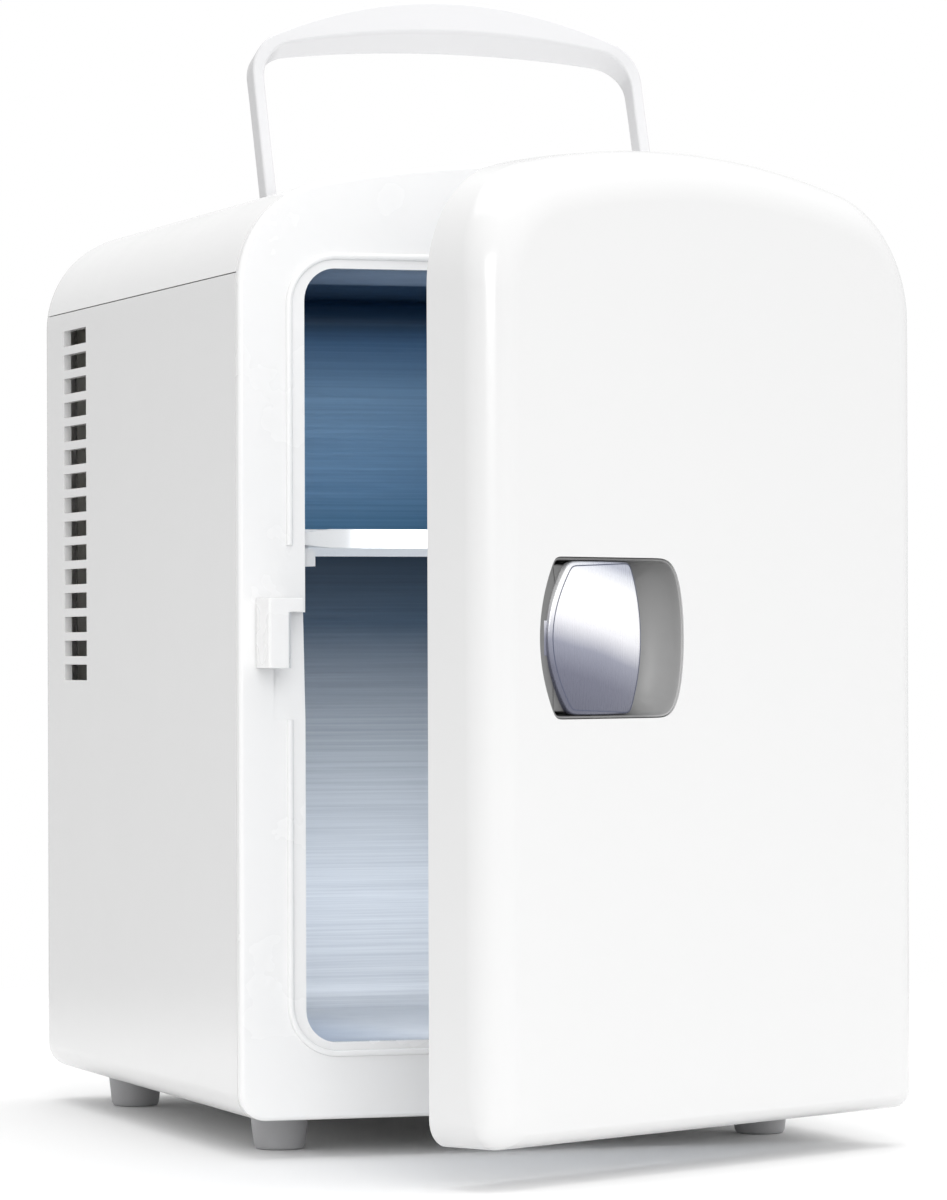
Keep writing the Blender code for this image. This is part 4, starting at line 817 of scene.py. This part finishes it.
for z in HINGE_LUGS:
    reach = HINGE_LUG_HEIGHT / 2 + 10.0
    add_loft(bores, turned_rings("z", (HINGE_X, HINGE_Y), [
        (HINGE_PIN_R + HINGE_RUN, BASE + z - reach), (HINGE_PIN_R + HINGE_RUN, BASE + z + reach)], 32))
combine(door, solid("hinge_bores", bores, AJAR))
soften(door, 0.45, 3, 60)
dress(door, "door", DOOR, "door", "door_shell")

# ---------------------------------------------------------------- latch recess
CUP_WALL, CUP_FLANGE, CUP_STEPS, CUP_DRAFT, CUP_SCOOP = 1.6, 4.0, 14, 1.4, 9.0
cup_front = FRONT_DOOR + DOOR_WALL + GAP
cup_floor = FRONT_DOOR + CUP_DEPTH - CUP_WALL
count = len(cup_edge)
pull = []
for x, z in cup_edge:
    pull.append(-(CUP_DRAFT + CUP_SCOOP * smooth((x - LEVER_RIGHT[0]) / 12.0)))
rings = [at(grown(cup_edge, CUP_FLANGE), cup_front), at(grown(cup_edge, -0.2), cup_front),
         at(grown(cup_edge, -0.2), FRONT_DOOR + 0.35), at(grown(cup_edge, -0.4), FRONT_DOOR + 0.22),
         at(grown(cup_edge, -0.65), FRONT_DOOR + 0.3)]
lip = FRONT_DOOR + 0.6
for i in range(CUP_STEPS + 1):
    angle = math.pi / 2 * i / CUP_STEPS
    inset = [-0.8 + p * (1 - math.cos(angle)) for p in pull]
    ring = relaxed(grown(cup_edge, inset), i)
    rings.append(at(ring, lip + (cup_floor - lip) * math.sin(angle)))
last = rings[-1]
centre = (sum(p[0] for p in last) / count, sum(p[2] for p in last) / count)
for share in (0.75, 0.5, 0.25):
    rings.append([(centre[0] + (x - centre[0]) * share, cup_floor, centre[1] + (z - centre[1]) * share)
                  for x, _, z in last])
back = [at(grown(cup_edge, CUP_FLANGE), cup_front + 1.4), at(grown(cup_edge, CUP_WALL), cup_front + 1.4),
        at(grown(cup_edge, CUP_WALL), cup_floor + CUP_WALL)]
cup = loft("latch_recess", rings[::-1] + back, AJAR)
HOOK_Z = (BASE + 120.6, BASE + 130.0)
combine(cup, boxes("hook_window", [((-72.4, FRONT_DOOR + 5.0, HOOK_Z[0] - 1.0),
                                    (-60.5, cup_floor + 3.6, HOOK_Z[1] + 1.0))], AJAR))
soften(cup, 0.0)
dress(cup, "door", CUP, "cup", "latch_cup")

# ---------------------------------------------------------------- latch lever
LEVER_MIDDLE = (LEVER_LEFT[1] + LEVER_RIGHT[1]) / 2
LEVER_REACH = (LEVER_RIGHT[1] - LEVER_LEFT[1]) / 2
lever_face = FRONT_DOOR - 0.4
lever_edge = relaxed(evened(barrel(LEVER_LEFT, LEVER_RIGHT, LEVER_HALF), 240), 12)


def lever_y(x, z, behind):
    """The bowed plate: proud in the middle, lower at its sides, top and bottom."""
    across = (x - LEVER_MIDDLE) / LEVER_REACH
    up = (z - BASE - LATCH_Z) / LEVER_HALF
    return lever_face + LEVER_CROWN * across**2 + 0.7 * up**2 + behind


def lever_ring(inset, behind):
    return [(x, lever_y(x, z, behind), z) for x, z in grown(lever_edge, -inset)]


def lever_patch(outline, share, behind):
    """An outline drawn in towards the lever's middle, on its bowed face."""
    made = []
    for x, z in outline:
        x = LEVER_MIDDLE + (x - LEVER_MIDDLE) * share
        z = BASE + LATCH_Z + (z - BASE - LATCH_Z) * share
        made.append((x, lever_y(x, z, behind), z))
    return made


rings = [lever_ring(inset, behind) for inset, behind in (
    (0.7, LEVER_THICK - 0.2), (0.15, LEVER_THICK - 0.5), (0.0, LEVER_THICK - 0.9), (0.0, 0.6), (0.08, 0.3),
    (0.3, 0.12), (0.7, 0.04), (1.2, 0.01), (2.0, 0.0))]
core = [(x, z) for x, _, z in rings[-1]]
behind_core = [(x, z) for x, _, z in rings[0]]
for share in (0.88, 0.74, 0.6, 0.46, 0.32, 0.18, 0.06):
    rings.append(lever_patch(core, share, 0.0))
for share in (0.8, 0.55, 0.3, 0.06):
    rings.insert(0, lever_patch(behind_core, share, LEVER_THICK))
lever = loft("latch_plate", rings, AJAR)
axis_y = FRONT_DOOR + 6.2
HOOK_TIP, BOSS_R, BORE_R = -8.9, 2.4, 1.1
arm = bmesh.new()
add_loft(arm, turned_rings("z", (LATCH_AXIS_X, axis_y), [(BOSS_R, HOOK_Z[0]), (BOSS_R, HOOK_Z[1])], 40))
arm_left, arm_right = LATCH_AXIS_X - 1.0, LATCH_AXIS_X + 6.0
arm_plan = [(arm_left, FRONT_DOOR + 2.9), (arm_right, FRONT_DOOR + 1.9),
            (arm_right, axis_y + 1.0), (arm_left, axis_y + 1.0)]
add_loft(arm, [[(x, y, z) for x, y in arm_plan] for z in (HOOK_Z[0] + 0.4, HOOK_Z[1] - 0.4)])
hook = [(-67.6, axis_y + 0.5), (-64.2, axis_y + 0.5), (-64.2, HOOK_TIP + 3.2), (-78.0, HOOK_TIP + 3.2),
        (-78.0, HOOK_TIP + 0.6), (-76.6, HOOK_TIP), (-67.6, HOOK_TIP)]
add_loft(arm, [[(x, y, z) for x, y in hook] for z in (HOOK_Z[0] + 0.8, HOOK_Z[1] - 0.8)])
combine(lever, solid("latch_arm", arm, AJAR), "UNION", crossing=True)
bore = bmesh.new()
add_loft(bore, turned_rings("z", (LATCH_AXIS_X, axis_y),
                            [(BORE_R, HOOK_Z[0] - 2), (BORE_R, HOOK_Z[1] + 2)], 24))
combine(lever, solid("latch_bore", bore, AJAR))
soften(lever, 0.0)
dress(lever, "lever", SATIN_PAINTED_REFLECTION, "lever", "latch_lever")


def line_ring(inset, behind):
    """Follows the lever's edge: well inside it on the left, on the edge at the right."""
    left, right = LEVER_LEFT[1], LEVER_RIGHT[1]
    amounts = [-(inset + 0.9 * (1 - smooth((x - left) / (right - left)))) for x, _ in lever_edge]
    return [(x, lever_y(x, z, behind), z) for x, z in grown(lever_edge, amounts)]


# The dark grey band beside the lever is painted shade, put where the recess floor lies in shade. Its gap lets
# it clear the recess when the lever is pulled.
SHADE_BAND_GAP, SHADE_BAND_SINK, SHADE_BAND_THICK, SHADE_BAND_UNDER = 1.9, 0.9, 1.2, 3.0
shade_band_edge = barrel([x + SHADE_BAND_GAP for x in CUP_LEFT], [x + SHADE_BAND_UNDER for x in LEVER_LEFT],
                    CUP_HALF - SHADE_BAND_GAP)
shade_band_front = lever_face + LEVER_CROWN + SHADE_BAND_SINK
shade_band = loft("latch_shade_band", [at(grown(shade_band_edge, inset), shade_band_front + behind) for inset, behind in (
    (0.0, SHADE_BAND_THICK), (0.0, 0.3), (-0.15, 0.1), (-0.4, 0.0))], AJAR)
soften(shade_band, 0.0)
dress(shade_band, "lever", SHADE_BAND, "lever")

trim = loft("latch_line", [line_ring(inset, behind) for inset, behind in (
    (0.3, 0.7), (0.3, 0.0), (0.38, -0.03), (0.5, -0.03), (0.58, 0.0), (0.58, 0.7))], AJAR, around=True)
soften(trim, 0.0)
dress(trim, "lever", TRIM, "lever")

# ---------------------------------------------------------------- handle


def bail(half, crown, radius, corner):
    side = half - corner
    middle = crown - radius + math.sqrt((radius - corner) ** 2 - side**2)
    lean = math.degrees(math.asin(side / (radius - corner)))
    points = [(half, 0.0)] + line((half, 0.0), (half, middle), 8)
    points += arc(side, middle, corner, 0, 90 - lean, 20)
    return points + arc(0, crown - radius, radius, 90 - lean, 90, 18)[1:]


def whole(half_path):
    return half_path + [(-x, up) for x, up in reversed(half_path[:-1])]


outer_path = whole(bail(HANDLE_HALF, HANDLE_CROWN, HANDLE_ARCH, HANDLE_CORNER))
under = HANDLE_CROWN - HANDLE_GRIP
inner_path = whole(bail(HANDLE_HALF - HANDLE_LEG, under, HANDLE_UNDER, HANDLE_INNER))
rings = []
for (ox, oz), (ix, iz) in zip(outer_path, inner_path):
    fullness = max(0.0, (iz - 0.6 * under) / (0.4 * under)) ** 3
    deep = HANDLE_LEG_DEEP + (HANDLE_GRIP_DEEP - HANDLE_LEG_DEEP) * fullness
    thick = math.dist((ox, oz), (ix, iz))
    ring = []
    for corner_u, corner_v, start in ((1, -1, 270), (1, 1, 0), (0, 1, 90), (0, -1, 180)):
        radius = 0.7 + 0.5 * fullness
        for i in range(5):
            angle = math.radians(start + 90 * i / 4)
            u = (thick - radius if corner_u else radius) + radius * math.cos(angle)
            v = corner_v * (deep / 2 - radius) + radius * math.sin(angle)
            ring.append((ox + (ix - ox) * u / thick, v, oz + (iz - oz) * u / thick))
    rings.append(ring)
handle = loft("carry_handle", rings, HANDLE_PLACE)
ends = bmesh.new()
for side in (-1, 1):
    near, far = sorted((side * (HANDLE_HALF - HANDLE_LEG), side * HANDLE_HALF))
    eye = HANDLE_LEG_DEEP / 2 + 0.4
    add_loft(ends, turned_rings("x", (0, 0), [(eye, near - 0.3), (eye, far + 0.3)]))
    add_loft(ends, turned_rings("x", (0, 0), [(TRUNNION_R, near - 3.4), (TRUNNION_R, far + 3.4)], 32))
combine(handle, solid("handle_ends", ends, HANDLE_PLACE), "UNION", crossing=True)
soften(handle, 0.0)
dress(handle, "handle", HANDLE, "handle", "handle")

# ---------------------------------------------------------------- CAD pieces that keep their own shape


def easing(name, width):
    """A node group that welds a CAD piece and shades its round faces smooth."""
    group = bpy.data.node_groups.new(name, "GeometryNodeTree")
    group.interface.new_socket("Geometry", in_out="INPUT", socket_type="NodeSocketGeometry")
    group.interface.new_socket("Geometry", in_out="OUTPUT", socket_type="NodeSocketGeometry")
    nodes, links = group.nodes, group.links
    start, end = nodes.new("NodeGroupInput"), nodes.new("NodeGroupOutput")
    weld = nodes.new("GeometryNodeMergeByDistance")
    weld.inputs["Distance"].default_value = 0.000004
    faces = nodes.new("GeometryNodeSetShadeSmooth")
    faces.domain = "FACE"
    edges = nodes.new("GeometryNodeSetShadeSmooth")
    edges.domain = "EDGE"
    edges.inputs["Shade Smooth"].default_value = False
    angle = nodes.new("GeometryNodeInputMeshEdgeAngle")
    steep = nodes.new("FunctionNodeCompare")
    steep.inputs[1].default_value = math.radians(width)
    links.new(start.outputs[0], weld.inputs["Geometry"])
    links.new(weld.outputs["Geometry"], faces.inputs["Geometry"])
    links.new(faces.outputs["Geometry"], edges.inputs["Geometry"])
    links.new(angle.outputs["Unsigned Angle"], steep.inputs[0])
    links.new(steep.outputs["Result"], edges.inputs["Selection"])
    links.new(edges.outputs["Geometry"], end.inputs[0])
    return group


EASING = easing("weld_and_smooth", 34.0)
KEPT = {
    "rear_cover": BODY, "shelf_rail_left": INNER, "shelf_rail_right": INNER, "cabinet_foam": FOAM,
    "cold_block": SINK, "cooling_module": CERAMIC, "heat_sink": SINK, "fan_frame": BLACK, "fan_rotor": BLACK,
    "power_board": BOARD, "transformer": BLACK, "ac_inlet": BLACK, "ac_pin_left": BRASS,
    "ac_pin_right": BRASS, "dc_inlet": BLACK, "dc_pin": BRASS, "switch_body": BLACK, "mode_knob": INNER,
    "rear_screw_lower_left": ZINC, "rear_screw_lower_right": ZINC, "rear_screw_upper_left": ZINC,
    "rear_screw_upper_right": ZINC, "hinge_lug_lower": FRAME, "hinge_lug_upper": FRAME,
    "hinge_pin_lower": ZINC, "hinge_pin_upper": ZINC, "door_liner": INNER, "door_foam": FOAM,
    "door_gasket": SEAL, "latch_pin": ZINC,
}
for name, finish in KEPT.items():
    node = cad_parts[name]
    node.data.materials.clear()
    node.data.materials.append(finish)
    node.modifiers.new("ease", "NODES").node_group = EASING

# ---------------------------------------------------------------- camera
CAMERA_AT = (-482.02, -1378.1, BASE + 122.17)
AZIMUTH, ROLL = -18.38, -0.175
LENS, SENSOR, SHIFT = 165.47, 36.0, (0.0004, 0.0425)
camera = bpy.data.objects.new("camera", bpy.data.cameras.new("camera"))
bpy.context.scene.collection.objects.link(camera)
bpy.context.scene.camera = camera
camera.matrix_world = (Matrix.Translation(IN_PLACE @ Vector(CAMERA_AT))
                       @ Matrix.Rotation(math.radians(AZIMUTH), 4, "Z")
                       @ Matrix.Rotation(math.radians(90), 4, "X")
                       @ Matrix.Rotation(math.radians(ROLL), 4, "Z"))
camera.data.lens, camera.data.sensor_width = LENS, SENSOR
camera.data.shift_x, camera.data.shift_y = SHIFT
camera.data.clip_start, camera.data.clip_end = 0.05, 60.0

# ---------------------------------------------------------------- studio
scene = bpy.context.scene
scene.view_settings.view_transform = "Standard"
scene.view_settings.look = "None"

ground = bmesh.new()
bmesh.ops.create_grid(ground, x_segments=8, y_segments=8, size=6.0)
data = bpy.data.meshes.new("floor")
ground.to_mesh(data)
ground.free()
floor = bpy.data.objects.new("floor", data)
scene.collection.objects.link(floor)
paint = Finish("floor_white", (0.9, 0.9, 0.9), 0.9)
paint.colour_by(paint.mix((0.895, 0.895, 0.895), (0.905, 0.905, 0.905), paint.noise(3.0)))
reach = paint.tree.nodes.new("ShaderNodeVectorMath")
reach.operation = "LENGTH"
paint.join(paint.place, reach, 0)
paint.join(paint.spread(reach.outputs["Value"], 1.0, 0.0, 0.3, 0.7), paint.shader, "Alpha")
floor.data.materials.append(paint.material)

# The sky is brighter above, to the right and in front. The camera itself sees plain white.
SKY_LEVEL, SKY_TILT = 0.78, (0.16, -0.14, 0.3)
world = bpy.data.worlds.new("studio")
scene.world = world
world.use_nodes = True
tree = world.node_tree
background = tree.nodes["Background"]
seen = tree.nodes.new("ShaderNodeBackground")
seen.inputs["Color"].default_value = (1.0, 1.0, 1.0, 1.0)
seen.inputs["Strength"].default_value = 1.0
background.inputs["Color"].default_value = (1.0, 1.0, 1.0, 1.0)
way = tree.nodes.new("ShaderNodeTexCoord")
tilt = tree.nodes.new("ShaderNodeVectorMath")
tilt.operation = "DOT_PRODUCT"
tilt.inputs[1].default_value = SKY_TILT
glow = tree.nodes.new("ShaderNodeMath")
glow.operation = "ADD"
glow.inputs[1].default_value = SKY_LEVEL
tree.links.new(way.outputs["Generated"], tilt.inputs[0])
tree.links.new(tilt.outputs["Value"], glow.inputs[0])
tree.links.new(glow.outputs[0], background.inputs["Strength"])
path = tree.nodes.new("ShaderNodeLightPath")
either = tree.nodes.new("ShaderNodeMixShader")
tree.links.new(path.outputs["Is Camera Ray"], either.inputs[0])
tree.links.new(background.outputs[0], either.inputs[1])
tree.links.new(seen.outputs[0], either.inputs[2])
tree.links.new(either.outputs[0], tree.nodes["World Output"].inputs["Surface"])


def softbox(name, where, target, size, power, colour=(1.0, 1.0, 1.0)):
    lamp = bpy.data.lights.new(name, "AREA")
    lamp.shape, lamp.size, lamp.size_y = "RECTANGLE", size[0], size[1]
    lamp.energy, lamp.color = power, colour
    made = bpy.data.objects.new(name, lamp)
    scene.collection.objects.link(made)
    made.visible_camera = False
    made.location = where
    made.rotation_mode = "QUATERNION"
    made.rotation_quaternion = (Vector(target) - Vector(where)).to_track_quat("-Z", "Y")


softbox("top_softbox", (0.1, 0.1, 1.5), (0.0, 0.0, 0.1), (1.6, 1.6), 10.0)
softbox("key_softbox", (-0.4, -1.95, 0.75), (0.0, -0.1, 0.12), (0.9, 0.9), 10.0)
mouth = IN_PLACE @ Vector((0.0, 2.0, BASE + 121.0))
softbox("cavity_glow", mouth, mouth + Vector((0.0, 0.1, 0.0)), (0.11, 0.17), 0.13, (0.93, 0.96, 1.0))
